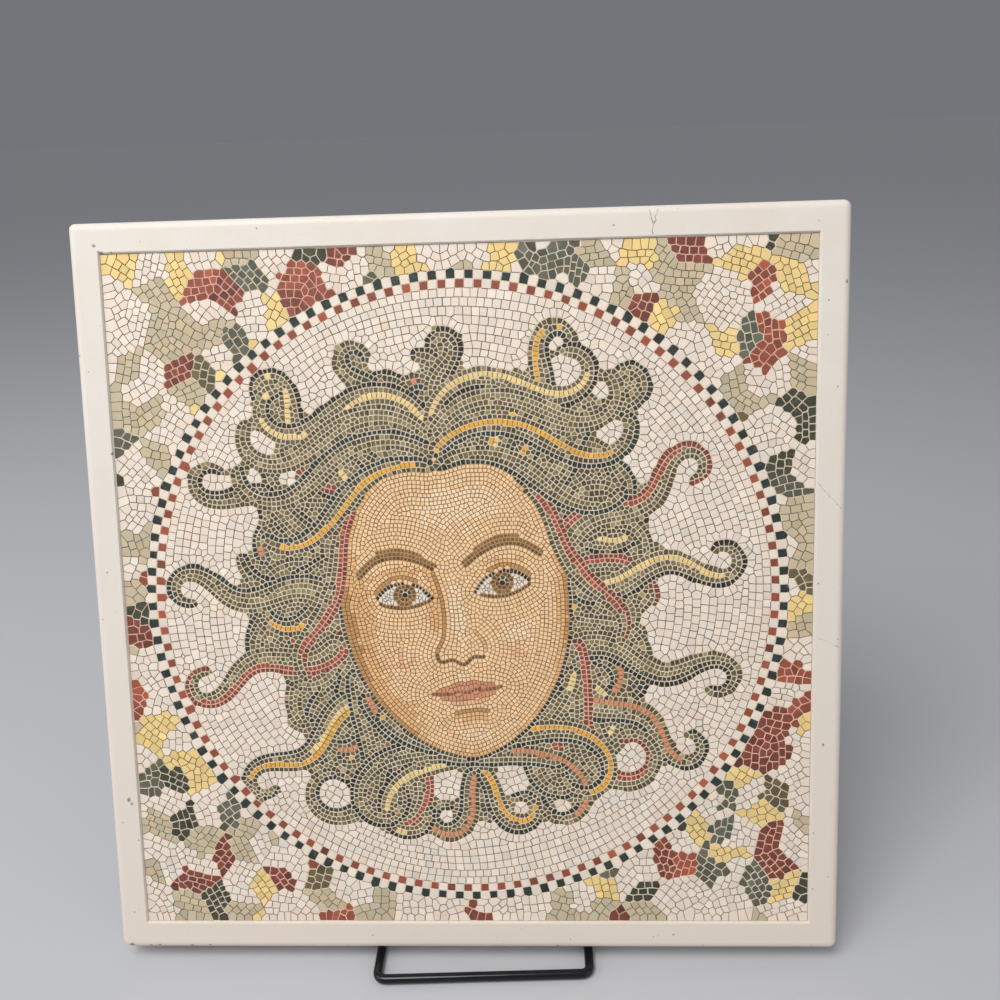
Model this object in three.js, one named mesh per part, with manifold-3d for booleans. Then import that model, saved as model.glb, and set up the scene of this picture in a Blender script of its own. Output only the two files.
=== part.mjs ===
// A square cast panel with a sunk mosaic field and a round medallion, leaning on a small bent-wire easel.
// Millimetres, +Z up. The panel faces -Y, and the origin is under the middle of the whole object.
import * as THREE from 'three';
import { mergeVertices } from 'three/addons/utils/BufferGeometryUtils.js';
import Module from 'manifold-3d';

const wasm = await Module();
wasm.setup();

// The cast panel
const panelWidth = 297;
const panelHeight = 297;
const panelThickness = 13;
const rimWidth = 12;
const frontEdgeRadius = 3;
const cornerCoreRadius = 0.5;
const backEdgeDepth = 1.2;
const edgeSteps = 5;
const cornerSteps = 4;

// The sunk field, and the round joints between the courses of tesserae in the medallion's border
const fieldDepth = 0.9;
const fieldWallSlope = 0.5;
const medallionRadius = 127;
const borderCourses = 2;
const courseWidth = 3.4;
const jointWidth = 0.5;
const jointDepth = 0.35;
const medallionSteps = 112;

// The wire easel
const wireDiameter = 3.8;
const wireSides = 12;
const bendSteps = 5;
const leanDegrees = 17;
const easelWidth = 91;
const easelOffset = 4;
const uprightLength = 180;
const ledgeReach = 22;
const ledgeSkew = 3;
const ledgeBendRadius = 3.5;
const heelBendRadius = 3.5;
const propWidth = 64;
const propSpreadDegrees = 20;
const propBendRadius = 6;

// Fits, and how far a cutter stands out of what it cuts
const restGap = 0.3;
const cutMargin = 1;
const mergeTolerance = 0.0001;

const wireRadius = wireDiameter / 2;
const lean = THREE.MathUtils.degToRad(leanDegrees);
const propSpread = THREE.MathUtils.degToRad(propSpreadDegrees);
const uprightX = easelWidth / 2 - wireRadius;
const propX = propWidth / 2 - wireRadius;
const fieldFloor = panelThickness - fieldDepth;

const plaster = new THREE.MeshStandardMaterial({ color: 0xe9e0d4, roughness: 0.72, metalness: 0 });
const blackWire = new THREE.MeshStandardMaterial({ color: 0x14171c, roughness: 0.38, metalness: 0.1 });

// Turns a closed three.js geometry into a solid that can be joined and cut.
function solid(geometry) {
  geometry.deleteAttribute('normal');
  geometry.deleteAttribute('uv');
  const merged = mergeVertices(geometry, mergeTolerance);
  return new wasm.Manifold(new wasm.Mesh({
    numProp: 3,
    vertProperties: new Float32Array(merged.attributes.position.array),
    triVerts: new Uint32Array(merged.index.array),
  }));
}

// Turns a solid back into a flat-shaded three.js geometry.
function geometryOf(shape) {
  const { vertProperties, triVerts } = shape.getMesh();
  const indexed = new THREE.BufferGeometry();
  indexed.setAttribute('position', new THREE.BufferAttribute(new Float32Array(vertProperties), 3));
  indexed.setIndex(new THREE.BufferAttribute(new Uint32Array(triVerts), 1));
  const flat = indexed.toNonIndexed();
  flat.computeVertexNormals();
  return flat;
}

function named(name, shape, material) {
  const mesh = new THREE.Mesh(geometryOf(shape), material);
  mesh.name = name;
  return mesh;
}

// A rectangle with round corners, centred on the origin of its plane.
function roundedRectangle(width, height, radius) {
  const x = width / 2;
  const y = height / 2;
  const shape = new THREE.Shape();
  shape.moveTo(x - radius, -y);
  shape.absarc(x - radius, -y + radius, radius, -Math.PI / 2, 0, false);
  shape.absarc(x - radius, y - radius, radius, 0, Math.PI / 2, false);
  shape.absarc(-x + radius, y - radius, radius, Math.PI / 2, Math.PI, false);
  shape.absarc(-x + radius, -y + radius, radius, Math.PI, Math.PI * 1.5, false);
  return shape;
}

// The blank lies in XY with its back on Z 0.
// Its front edge is rounded, and its back edge keeps a trace of rounding.
function panelBlank() {
  const round = frontEdgeRadius;
  const outline = roundedRectangle(panelWidth - 2 * round, panelHeight - 2 * round, cornerCoreRadius);
  const below = round - backEdgeDepth;
  const blank = solid(new THREE.ExtrudeGeometry(outline, {
    depth: panelThickness + below - 2 * round,
    bevelThickness: round,
    bevelSize: round,
    bevelSegments: edgeSteps,
    curveSegments: cornerSteps,
  }).translate(0, 0, round - below));
  const behind = new THREE.BoxGeometry(panelWidth + cutMargin, panelHeight + cutMargin, round);
  return blank.subtract(solid(behind.translate(0, 0, -round / 2)));
}

// The sunk field: a shallow square pocket whose walls open outwards.
function fieldPocket() {
  const halfWidth = panelWidth / 2 - rimWidth;
  const halfHeight = panelHeight / 2 - rimWidth;
  const depth = fieldDepth + cutMargin;
  const growth = fieldWallSlope / fieldDepth * depth;
  const cornerReach = halfWidth * Math.SQRT2;
  const pocket = new THREE.CylinderGeometry(cornerReach + growth * Math.SQRT2, cornerReach, depth, 4)
    .rotateY(Math.PI / 4)
    .rotateX(Math.PI / 2)
    .scale(1, halfHeight / halfWidth, 1)
    .translate(0, 0, fieldFloor + depth / 2);
  return solid(pocket);
}

// A round joint beside a course of the medallion's border.
function roundJoint(radius) {
  const low = fieldFloor - jointDepth;
  const high = fieldFloor + cutMargin;
  const half = jointWidth / 2;
  const profile = [[-half, low], [half, low], [half, high], [-half, high], [-half, low]]
    .map(([offset, height]) => new THREE.Vector2(radius + offset, height));
  return solid(new THREE.LatheGeometry(profile, medallionSteps).rotateX(Math.PI / 2));
}

function castPanel() {
  const radii = Array.from({ length: borderCourses + 1 }, (_, i) => medallionRadius - i * courseWidth);
  const joints = wasm.Manifold.union(radii.map(roundJoint));
  return panelBlank().subtract(fieldPocket()).subtract(joints);
}

// A wire's centre line: straight runs with round bends between them, and one section at each end of a run.
class BentWire extends THREE.Curve {
  constructor(corners, radii) {
    super();
    this.stations = corners.flatMap((corner, i) => {
      if (i === 0 || i === corners.length - 1) return [corner.clone()];
      return BentWire.bend(corners[i - 1], corner, corners[i + 1], radii[i - 1]);
    });
  }

  static bend(before, corner, after, radius) {
    const into = corner.clone().sub(before).normalize();
    const away = after.clone().sub(corner).normalize();
    const turn = into.angleTo(away);
    const setback = radius * Math.tan(turn / 2);
    const start = corner.clone().addScaledVector(into, -setback);
    const inward = away.clone().addScaledVector(into, -away.dot(into)).normalize();
    return Array.from({ length: bendSteps + 1 }, (_, i) => {
      const angle = turn * i / bendSteps;
      return start.clone()
        .addScaledVector(into, radius * Math.sin(angle))
        .addScaledVector(inward, radius * (1 - Math.cos(angle)));
    });
  }

  getSpacedPoints() {
    return this.stations;
  }

  getTangentAt(u, target = new THREE.Vector3()) {
    const last = this.stations.length - 1;
    const i = Math.round(u * last);
    const before = this.stations[Math.max(i - 1, 0)];
    const after = this.stations[Math.min(i + 1, last)];
    const here = this.stations[i];
    const into = here.clone().sub(before).normalize();
    return target.copy(after).sub(here).normalize().add(into).normalize();
  }
}

// A round wire along corners, with one bend radius for each corner between its ends.
// The flats of its section lie on its diameter.
function wire(corners, radii) {
  const line = new BentWire(corners, radii);
  const reach = wireRadius / Math.cos(Math.PI / wireSides);
  const section = new THREE.Shape(Array.from({ length: wireSides }, (_, i) => {
    const angle = (i + 0.5) / wireSides * Math.PI * 2;
    return new THREE.Vector2(reach * Math.cos(angle), reach * Math.sin(angle));
  }));
  return solid(new THREE.ExtrudeGeometry(section, {
    steps: line.stations.length - 1,
    extrudePath: line,
    bevelEnabled: false,
  }));
}

// The front wire: an upright, an arm along the table, the ledge bar, and the other arm and upright.
// Its heels, where the arms turn up into the uprights, are on Y 0, and its arms lie on the table.
function frontWire() {
  const side = (sign) => {
    const reach = ledgeReach - sign * ledgeSkew / 2;
    return [
      new THREE.Vector3(sign * uprightX, -reach, wireRadius),
      new THREE.Vector3(sign * uprightX, 0, wireRadius),
      upright(sign * uprightX),
    ];
  };
  const radii = [heelBendRadius, ledgeBendRadius, ledgeBendRadius, heelBendRadius];
  return wire([...side(-1).reverse(), ...side(1)], radii);
}

// The top end of an upright's centre line.
function upright(x) {
  return new THREE.Vector3(x, uprightLength * Math.sin(lean), wireRadius + uprightLength * Math.cos(lean));
}

function crossbar() {
  return wire([upright(-uprightX - wireRadius), upright(uprightX + wireRadius)], []);
}

// The prop: from the crossbar down and back to a bar that lies on the table, and up again.
function prop() {
  const foot = (x) => {
    const top = upright(x);
    const fall = top.z - wireRadius;
    return new THREE.Vector3(x, top.y + fall * Math.tan(propSpread), wireRadius);
  };
  const corners = [upright(-propX), foot(-propX), foot(propX), upright(propX)];
  return wire(corners, [propBendRadius, propBendRadius]);
}

// The panel's lower back edge stands on the arms, and its back leans on the uprights, each with a gap.
function panelPlace() {
  const off = wireRadius + restGap;
  const along = off * (1 - Math.sin(lean)) / Math.cos(lean);
  const centre = along + panelHeight / 2;
  return new THREE.Vector3(
    0,
    centre * Math.sin(lean) - off * Math.cos(lean),
    wireRadius + centre * Math.cos(lean) + off * Math.sin(lean),
  );
}

const panelMesh = named('mosaic_panel', castPanel(), plaster);
panelMesh.rotation.x = Math.PI / 2 - lean;
panelMesh.position.copy(panelPlace());

const easelMesh = named('wire_easel', wasm.Manifold.union([frontWire(), crossbar(), prop()]), blackWire);
easelMesh.position.x = easelOffset;

// The origin goes under the middle of the whole object's box.
const group = new THREE.Group();
group.add(panelMesh, easelMesh);
group.updateMatrixWorld(true);
const box = new THREE.Box3().setFromObject(group, true);
for (const mesh of group.children) {
  mesh.position.y -= (box.min.y + box.max.y) / 2;
  mesh.position.z -= box.min.z;
}

export default group;
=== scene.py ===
"""Builds the looks of a square mosaic panel that leans on a small bent-wire easel.

The picture is laid out stone by stone in the field's own plane, in millimetres. The stones then share out
the field between them, and the panel becomes one closed mesh of stones, joints, rim, sides and back.
"""

import logging
import math
import random
from dataclasses import dataclass, field
from enum import Enum
from functools import cache
from typing import Callable, Iterable, Iterator

import bpy
import numpy as np
from bpy.types import Material, Mesh, Node, NodeSocket, NodeTree, Object
from mathutils import Matrix, Vector
from mathutils.geometry import delaunay_2d_cdt


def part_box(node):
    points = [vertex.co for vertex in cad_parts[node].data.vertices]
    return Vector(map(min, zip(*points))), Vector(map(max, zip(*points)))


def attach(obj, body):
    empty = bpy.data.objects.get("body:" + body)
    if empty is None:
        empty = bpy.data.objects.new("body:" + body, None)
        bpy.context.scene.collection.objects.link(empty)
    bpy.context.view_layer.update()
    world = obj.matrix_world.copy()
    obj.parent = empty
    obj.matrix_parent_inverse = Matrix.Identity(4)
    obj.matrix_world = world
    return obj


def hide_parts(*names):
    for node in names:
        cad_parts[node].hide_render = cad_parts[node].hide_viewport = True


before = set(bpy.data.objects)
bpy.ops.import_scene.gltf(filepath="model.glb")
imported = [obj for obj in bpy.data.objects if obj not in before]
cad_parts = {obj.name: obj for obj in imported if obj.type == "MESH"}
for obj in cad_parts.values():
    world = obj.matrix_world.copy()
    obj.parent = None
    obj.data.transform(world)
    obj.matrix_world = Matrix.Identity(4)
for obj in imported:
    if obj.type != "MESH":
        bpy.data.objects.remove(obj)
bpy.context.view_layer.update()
log = logging.getLogger("mosaic_panel")

MM = 0.001
Pair = tuple[float, float]
Triple = tuple[float, float, float]
Colour = tuple[float, float, float, float]


class Tone(Enum):
    """The colours of the stones, as sRGB."""

    GROUND = (0.915, 0.862, 0.805)
    GROUND_WARM = (0.915, 0.847, 0.782)
    GROUND_GREY = (0.900, 0.847, 0.788)
    PEACH = (0.945, 0.800, 0.615)
    PEACH_LIGHT = (0.955, 0.845, 0.690)
    PEACH_DEEP = (0.895, 0.715, 0.500)
    PEACH_BROWN = (0.745, 0.565, 0.360)
    ROSE = (0.905, 0.715, 0.560)
    SALMON = (0.820, 0.570, 0.440)
    LIP = (0.560, 0.320, 0.225)
    UMBER = (0.380, 0.285, 0.175)
    RUSSET = (0.500, 0.365, 0.200)
    KHAKI = (0.575, 0.520, 0.375)
    MOSS = (0.485, 0.436, 0.305)
    OLIVE = (0.395, 0.352, 0.240)
    OLIVE_DARK = (0.305, 0.272, 0.185)
    OLIVE_DEEP = (0.235, 0.235, 0.175)
    SAGE = (0.768, 0.710, 0.594)
    SLATE = (0.350, 0.352, 0.295)
    TEAL = (0.125, 0.180, 0.172)
    OCHRE = (0.900, 0.665, 0.275)
    STRAW = (0.925, 0.805, 0.540)
    BRICK = (0.570, 0.290, 0.212)
    MAROON = (0.465, 0.235, 0.185)
    INK = (0.130, 0.122, 0.110)


LIGHT_TONES = {
    Tone.GROUND, Tone.GROUND_WARM, Tone.GROUND_GREY, Tone.PEACH, Tone.PEACH_LIGHT, Tone.PEACH_DEEP,
    Tone.PEACH_BROWN, Tone.ROSE, Tone.SALMON, Tone.SAGE, Tone.STRAW, Tone.OCHRE,
}
BROWNS = (Tone.MOSS, Tone.KHAKI, Tone.OLIVE, Tone.OLIVE_DARK)
TINTED = {Tone.SAGE, Tone.STRAW, Tone.OCHRE}
ToneAt = Callable[[float, float], Tone]


@dataclass(frozen=True)
class Field:
    """The sunk field and the medallion in it."""

    half: float = 136.5
    step: float = 0.5
    medallion: float = 127.0
    course: float = 3.4
    border_count: int = 224

    @property
    def inner(self) -> float:
        """Radius inside the border's two courses."""
        return self.medallion - 2 * self.course

    def axis(self) -> np.ndarray:
        """Coordinates of the raster's rows and columns."""
        return np.arange(-self.half, self.half + self.step / 2, self.step)

    def cell(self, x: np.ndarray, y: np.ndarray) -> tuple[np.ndarray, np.ndarray]:
        """Raster row and column nearest to a place.

        Args:
            x: places across the field.
            y: places up the field.

        Returns:
            The rows and the columns.
        """
        last = len(self.axis()) - 1
        col = np.clip(np.rint((np.asarray(x) + self.half) / self.step), 0, last).astype(int)
        row = np.clip(np.rint((np.asarray(y) + self.half) / self.step), 0, last).astype(int)
        return row, col


FIELD = Field()


def distance_to(mask: np.ndarray, step: float) -> np.ndarray:
    """Exact distance of every raster cell to the nearest marked one.

    Args:
        mask: the marked cells of a square raster.
        step: size of a cell.

    Returns:
        The distances, in the unit of the step.
    """
    far = 1e9
    best = np.where(mask, 0.0, far)
    for _ in range(2):
        count = best.shape[0]
        rows = np.arange(count, dtype=float)
        result = np.full_like(best, far)
        for k in range(count):
            if best[k].min() >= far:
                continue
            np.minimum(result, best[k][None, :] + ((rows - k) ** 2)[:, None], out=result)
        best = result.T.copy()
    return np.sqrt(best) * step


def contours(values: np.ndarray, level: float, x0: float, y0: float, step: float) -> list[np.ndarray]:
    """Chains of points along one level of a raster.

    Args:
        values: the raster.
        level: the value to follow.
        x0: place of the first column.
        y0: place of the first row.
        step: size of a cell.

    Returns:
        One line for each chain. The ends of a closed one are the same point.
    """
    above = values > level
    rows, cols = values.shape
    flat_h = above[:, 1:] != above[:, :-1]
    flat_v = above[1:, :] != above[:-1, :]
    points: dict[tuple[int, int, int], Pair] = {}
    for i, j in zip(*np.nonzero(flat_h)):
        a, b = values[i, j], values[i, j + 1]
        points[0, i, j] = (x0 + (j + (level - a) / (b - a)) * step, y0 + i * step)
    for i, j in zip(*np.nonzero(flat_v)):
        a, b = values[i, j], values[i + 1, j]
        points[1, i, j] = (x0 + j * step, y0 + (i + (level - a) / (b - a)) * step)
    links: dict[tuple[int, int, int], list[tuple[int, int, int]]] = {key: [] for key in points}
    busy = np.zeros((rows - 1, cols - 1), bool)
    busy |= flat_h[:-1] | flat_h[1:]
    busy |= flat_v[:, :-1] | flat_v[:, 1:]
    for i, j in zip(*np.nonzero(busy)):
        around = [key for key in ((0, i, j), (1, i, j), (0, i + 1, j), (1, i, j + 1)) if key in points]
        for a, b in zip(around[::2], around[1::2]):
            links[a].append(b)
            links[b].append(a)
    chains = []
    seen = set()
    starts = [key for key, near in links.items() if len(near) == 1] + list(links)
    for start in starts:
        if start in seen:
            continue
        chain = [start]
        seen.add(start)
        here = start
        while True:
            onward = [key for key in links[here] if key not in seen]
            if not onward:
                break
            here = onward[0]
            seen.add(here)
            chain.append(here)
        line = np.array([points[key] for key in chain])
        if len(chain) > 2 and chain[0] in links[chain[-1]]:
            line = np.vstack([line, line[:1]])
        chains.append(line)
    return chains


def smoothed(line: np.ndarray, reach: int = 3) -> np.ndarray:
    """A line with its raster steps smoothed away.

    Args:
        line: the points, closed where the first is also the last.
        reach: how many points on each side count.

    Returns:
        The line, with as many points as before.
    """
    closed = len(line) > 3 and np.allclose(line[0], line[-1])
    weights = np.exp(-0.5 * (np.arange(-reach, reach + 1) / (reach / 2)) ** 2)
    weights /= weights.sum()
    if len(line) < 2 * reach + 2:
        return line
    if closed:
        body = line[:-1]
        padded = np.vstack([body[-reach:], body, body[:reach]])
    else:
        padded = np.vstack([np.repeat(line[:1], reach, 0), line, np.repeat(line[-1:], reach, 0)])
    out = np.stack([np.convolve(padded[:, k], weights, "valid") for k in (0, 1)], 1)
    if closed:
        return np.vstack([out, out[:1]])
    out[0], out[-1] = line[0], line[-1]
    return out


def spline(points: Iterable[Pair], step: float = 0.8) -> np.ndarray:
    """A smooth line through points.

    Args:
        points: what the line passes through.
        step: how far apart its own points lie.

    Returns:
        The line's points.
    """
    knots = np.array(list(points), float)
    if len(knots) == 2:
        fine = np.linspace(knots[0], knots[1], 40)
    else:
        ends = np.vstack([2 * knots[0] - knots[1], knots, 2 * knots[-1] - knots[-2]])
        t = np.linspace(0, 1, 24, endpoint=False)[:, None]
        fine = np.vstack([
            0.5 * (2 * b + (c - a) * t + (2 * a - 5 * b + 4 * c - d) * t**2 + (3 * b - a - 3 * c + d) * t**3)
            for a, b, c, d in zip(ends, ends[1:], ends[2:], ends[3:])
        ] + [knots[-1:]])
    return resampled(fine, step)[0]


def resampled(line: np.ndarray, pitch: float, phase: float = 0.0, jitter: float = 0.0,
              dice: random.Random | None = None) -> tuple[np.ndarray, np.ndarray]:
    """Evenly spaced places along a line.

    Args:
        line: the points of the line.
        pitch: about how far apart the places lie.
        phase: share of a pitch before the first place.
        jitter: most that a place may wander along the line, as a share of the pitch.
        dice: what the wandering is drawn from.

    Returns:
        The places, and the line's direction at each.
    """
    seg = np.hypot(*np.diff(line, axis=0).T)
    along = np.concatenate([[0], np.cumsum(seg)])
    total = along[-1]
    closed = np.allclose(line[0], line[-1]) and total > 3 * pitch
    count = max(1, round(total / pitch))
    if phase or closed or jitter:
        at = (np.arange(count) + phase % 1.0) * total / count
    else:
        at = np.linspace(0, total, count + 1)
    if jitter and dice:
        at = at + np.array([dice.uniform(-jitter, jitter) for _ in at]) * pitch
    at = np.clip(at, 0, total)
    places = np.stack([np.interp(at, along, line[:, k]) for k in (0, 1)], 1)
    reach = min(pitch * 0.6, total / 2)
    before = np.stack([np.interp(np.clip(at - reach, 0, total), along, line[:, k]) for k in (0, 1)], 1)
    after = np.stack([np.interp(np.clip(at + reach, 0, total), along, line[:, k]) for k in (0, 1)], 1)
    way = after - before
    way /= np.maximum(np.hypot(way[:, 0], way[:, 1]), 1e-9)[:, None]
    return places, way


@dataclass
class Stones:
    """Every stone that has been laid, as a place, a direction, a pitch, a colour and a course."""

    seed: int = 7
    bucket: float = 2.0
    x: list[float] = field(default_factory=list)
    y: list[float] = field(default_factory=list)
    tx: list[float] = field(default_factory=list)
    ty: list[float] = field(default_factory=list)
    pitch: list[float] = field(default_factory=list)
    length: list[float] = field(default_factory=list)
    tone: list[Tone] = field(default_factory=list)
    course: list[int] = field(default_factory=list)
    buckets: dict[tuple[int, int], list[int]] = field(default_factory=dict)
    courses: int = 0

    def __post_init__(self) -> None:
        """Seeds the dice that every course is laid with."""
        self.dice = random.Random(self.seed)

    def new_course(self) -> int:
        """Number for a new course."""
        self.courses += 1
        return self.courses

    def bucket_of(self, x: float, y: float) -> tuple[int, int]:
        """The bucket that a place falls in."""
        return int(math.floor(x / self.bucket)), int(math.floor(y / self.bucket))

    def around(self, x: float, y: float) -> Iterator[int]:
        """Numbers of the stones in the five by five buckets round a place."""
        bi, bj = self.bucket_of(x, y)
        for i in range(bi - 2, bi + 3):
            for j in range(bj - 2, bj + 3):
                yield from self.buckets.get((i, j), ())

    def room(self, x: float, y: float, pitch: float, share: float) -> bool:
        """Whether a stone has room.

        Args:
            x: its place across.
            y: its place up.
            pitch: its width with its joint.
            share: how close stones may come, as a share of their mean pitch.

        Returns:
            True where no stone lies closer than that.
        """
        for k in self.around(x, y):
            near = share * 0.5 * (pitch + self.pitch[k])
            if (self.x[k] - x) ** 2 + (self.y[k] - y) ** 2 < near * near:
                return False
        return True

    def lay(self, x: float, y: float, way: Pair, pitch: float, tone: Tone, course: int,
            share: float = 0.8, length: float | None = None) -> bool:
        """Lays one stone if there is room.

        Args:
            x: its place across.
            y: its place up.
            way: the direction of its course.
            pitch: its width with its joint.
            tone: its colour.
            course: number of its course.
            share: how close stones may come, as a share of their mean pitch.
            length: its length along the course, where that isn't its pitch.

        Returns:
            Whether it was laid.
        """
        edge = FIELD.half - 0.42 * pitch
        if abs(x) > edge or abs(y) > edge or not self.room(x, y, pitch, share):
            return False
        self.buckets.setdefault(self.bucket_of(x, y), []).append(len(self.x))
        self.x.append(float(x))
        self.y.append(float(y))
        self.tx.append(float(way[0]))
        self.ty.append(float(way[1]))
        self.pitch.append(pitch)
        self.length.append(length or pitch)
        self.tone.append(tone)
        self.course.append(course)
        return True

    def lay_line(self, line: np.ndarray, pitch: float, tone: ToneAt,
                 keep: Callable[[float, float], bool] | None = None, share: float = 0.8,
                 stretch: float = 1) -> None:
        """Lays a course of stones along a line.

        Args:
            line: the points of the course's middle.
            pitch: width of a stone with its joint.
            tone: colour for a place.
            keep: whether a place may be used.
            share: how close stones may come, as a share of the pitch.
            stretch: length of a stone over its width.
        """
        seg = np.hypot(*np.diff(line, axis=0).T).sum() if len(line) > 1 else 0
        if seg < pitch * 0.6:
            return
        course = self.new_course()
        phase = 0.5 if seg < 3 * pitch else self.dice.random()
        places, ways = resampled(line, pitch * stretch, phase, 0.1, self.dice)
        for (x, y), way in zip(places, ways):
            if keep is None or keep(x, y):
                self.lay(x, y, way, pitch, tone(x, y), course, share, pitch * stretch)


def path(start: Pair, heading: float, bends: Iterable[Pair]) -> np.ndarray:
    """A line that starts with a heading and turns at a changing rate.

    Args:
        start: the first point.
        heading: first direction, in degrees from +x.
        bends: pairs of a length and the turn over it in degrees, each eased into the next.

    Returns:
        Points about a millimetre apart.
    """
    x, y = start
    angle = math.radians(heading)
    points = [(x, y)]
    bends = list(bends)
    rates = [math.radians(turn) / length for length, turn in bends]
    ends = np.cumsum([length for length, _ in bends])
    mids = [end - length / 2 for end, (length, _) in zip(ends, bends)]
    total = ends[-1]
    step = 0.8
    for k in range(int(total / step)):
        rate = float(np.interp(k * step, mids, rates))
        angle += rate * step
        x += math.cos(angle) * step
        y += math.sin(angle) * step
        points.append((x, y))
    return np.array(points)


class Scheme(Enum):
    """Colours of a lock's courses, from its left side inwards and from its right side inwards."""

    OLIVE = ((Tone.OLIVE_DARK, Tone.OLIVE, Tone.KHAKI), (Tone.TEAL, Tone.OLIVE_DARK, Tone.MOSS))
    SOFT = ((Tone.OLIVE_DARK, Tone.MOSS, Tone.KHAKI), (Tone.OLIVE_DARK, Tone.OLIVE, Tone.MOSS))
    DARK = ((Tone.OLIVE_DARK, Tone.OLIVE, Tone.MOSS), (Tone.INK, Tone.OLIVE_DEEP, Tone.OLIVE))
    GOLD = ((Tone.OLIVE_DARK, Tone.OCHRE, Tone.STRAW), (Tone.TEAL, Tone.OLIVE_DARK, Tone.KHAKI))
    STRAW = ((Tone.OLIVE, Tone.STRAW, Tone.KHAKI), (Tone.INK, Tone.OLIVE, Tone.MOSS))
    RED = ((Tone.MAROON, Tone.BRICK, Tone.OLIVE), (Tone.OLIVE_DARK, Tone.OLIVE, Tone.MOSS))
    ROSE = ((Tone.OLIVE_DARK, Tone.SALMON, Tone.KHAKI), (Tone.TEAL, Tone.OLIVE, Tone.MOSS))


@dataclass
class Lock:
    """One lock of hair: a line with a changing width, and the colours of its courses."""

    line: np.ndarray
    widths: Triple
    scheme: Scheme
    pitch: float = 1.9

    def radii(self) -> np.ndarray:
        """Half widths along the line: at its root, its middle and its tip."""
        share = np.linspace(0, 1, len(self.line))
        return np.interp(share, (0, 0.5, 1), self.widths) / 2

    def depth(self, xs: np.ndarray, ys: np.ndarray) -> tuple[np.ndarray, np.ndarray]:
        """How deep a patch of the raster lies inside the lock.

        Args:
            xs: the patch's columns.
            ys: the patch's rows.

        Returns:
            The depths, and the number of the line's point that each is measured from.
        """
        gx, gy = np.meshgrid(xs, ys)
        best = np.full(gx.shape, -1e9)
        nearest = np.zeros(gx.shape, int)
        for k, ((cx, cy), radius) in enumerate(zip(self.line, self.radii())):
            inside = radius - np.hypot(gx - cx, gy - cy)
            better = inside > best
            best = np.where(better, inside, best)
            nearest = np.where(better, k, nearest)
        return best, nearest


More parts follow.
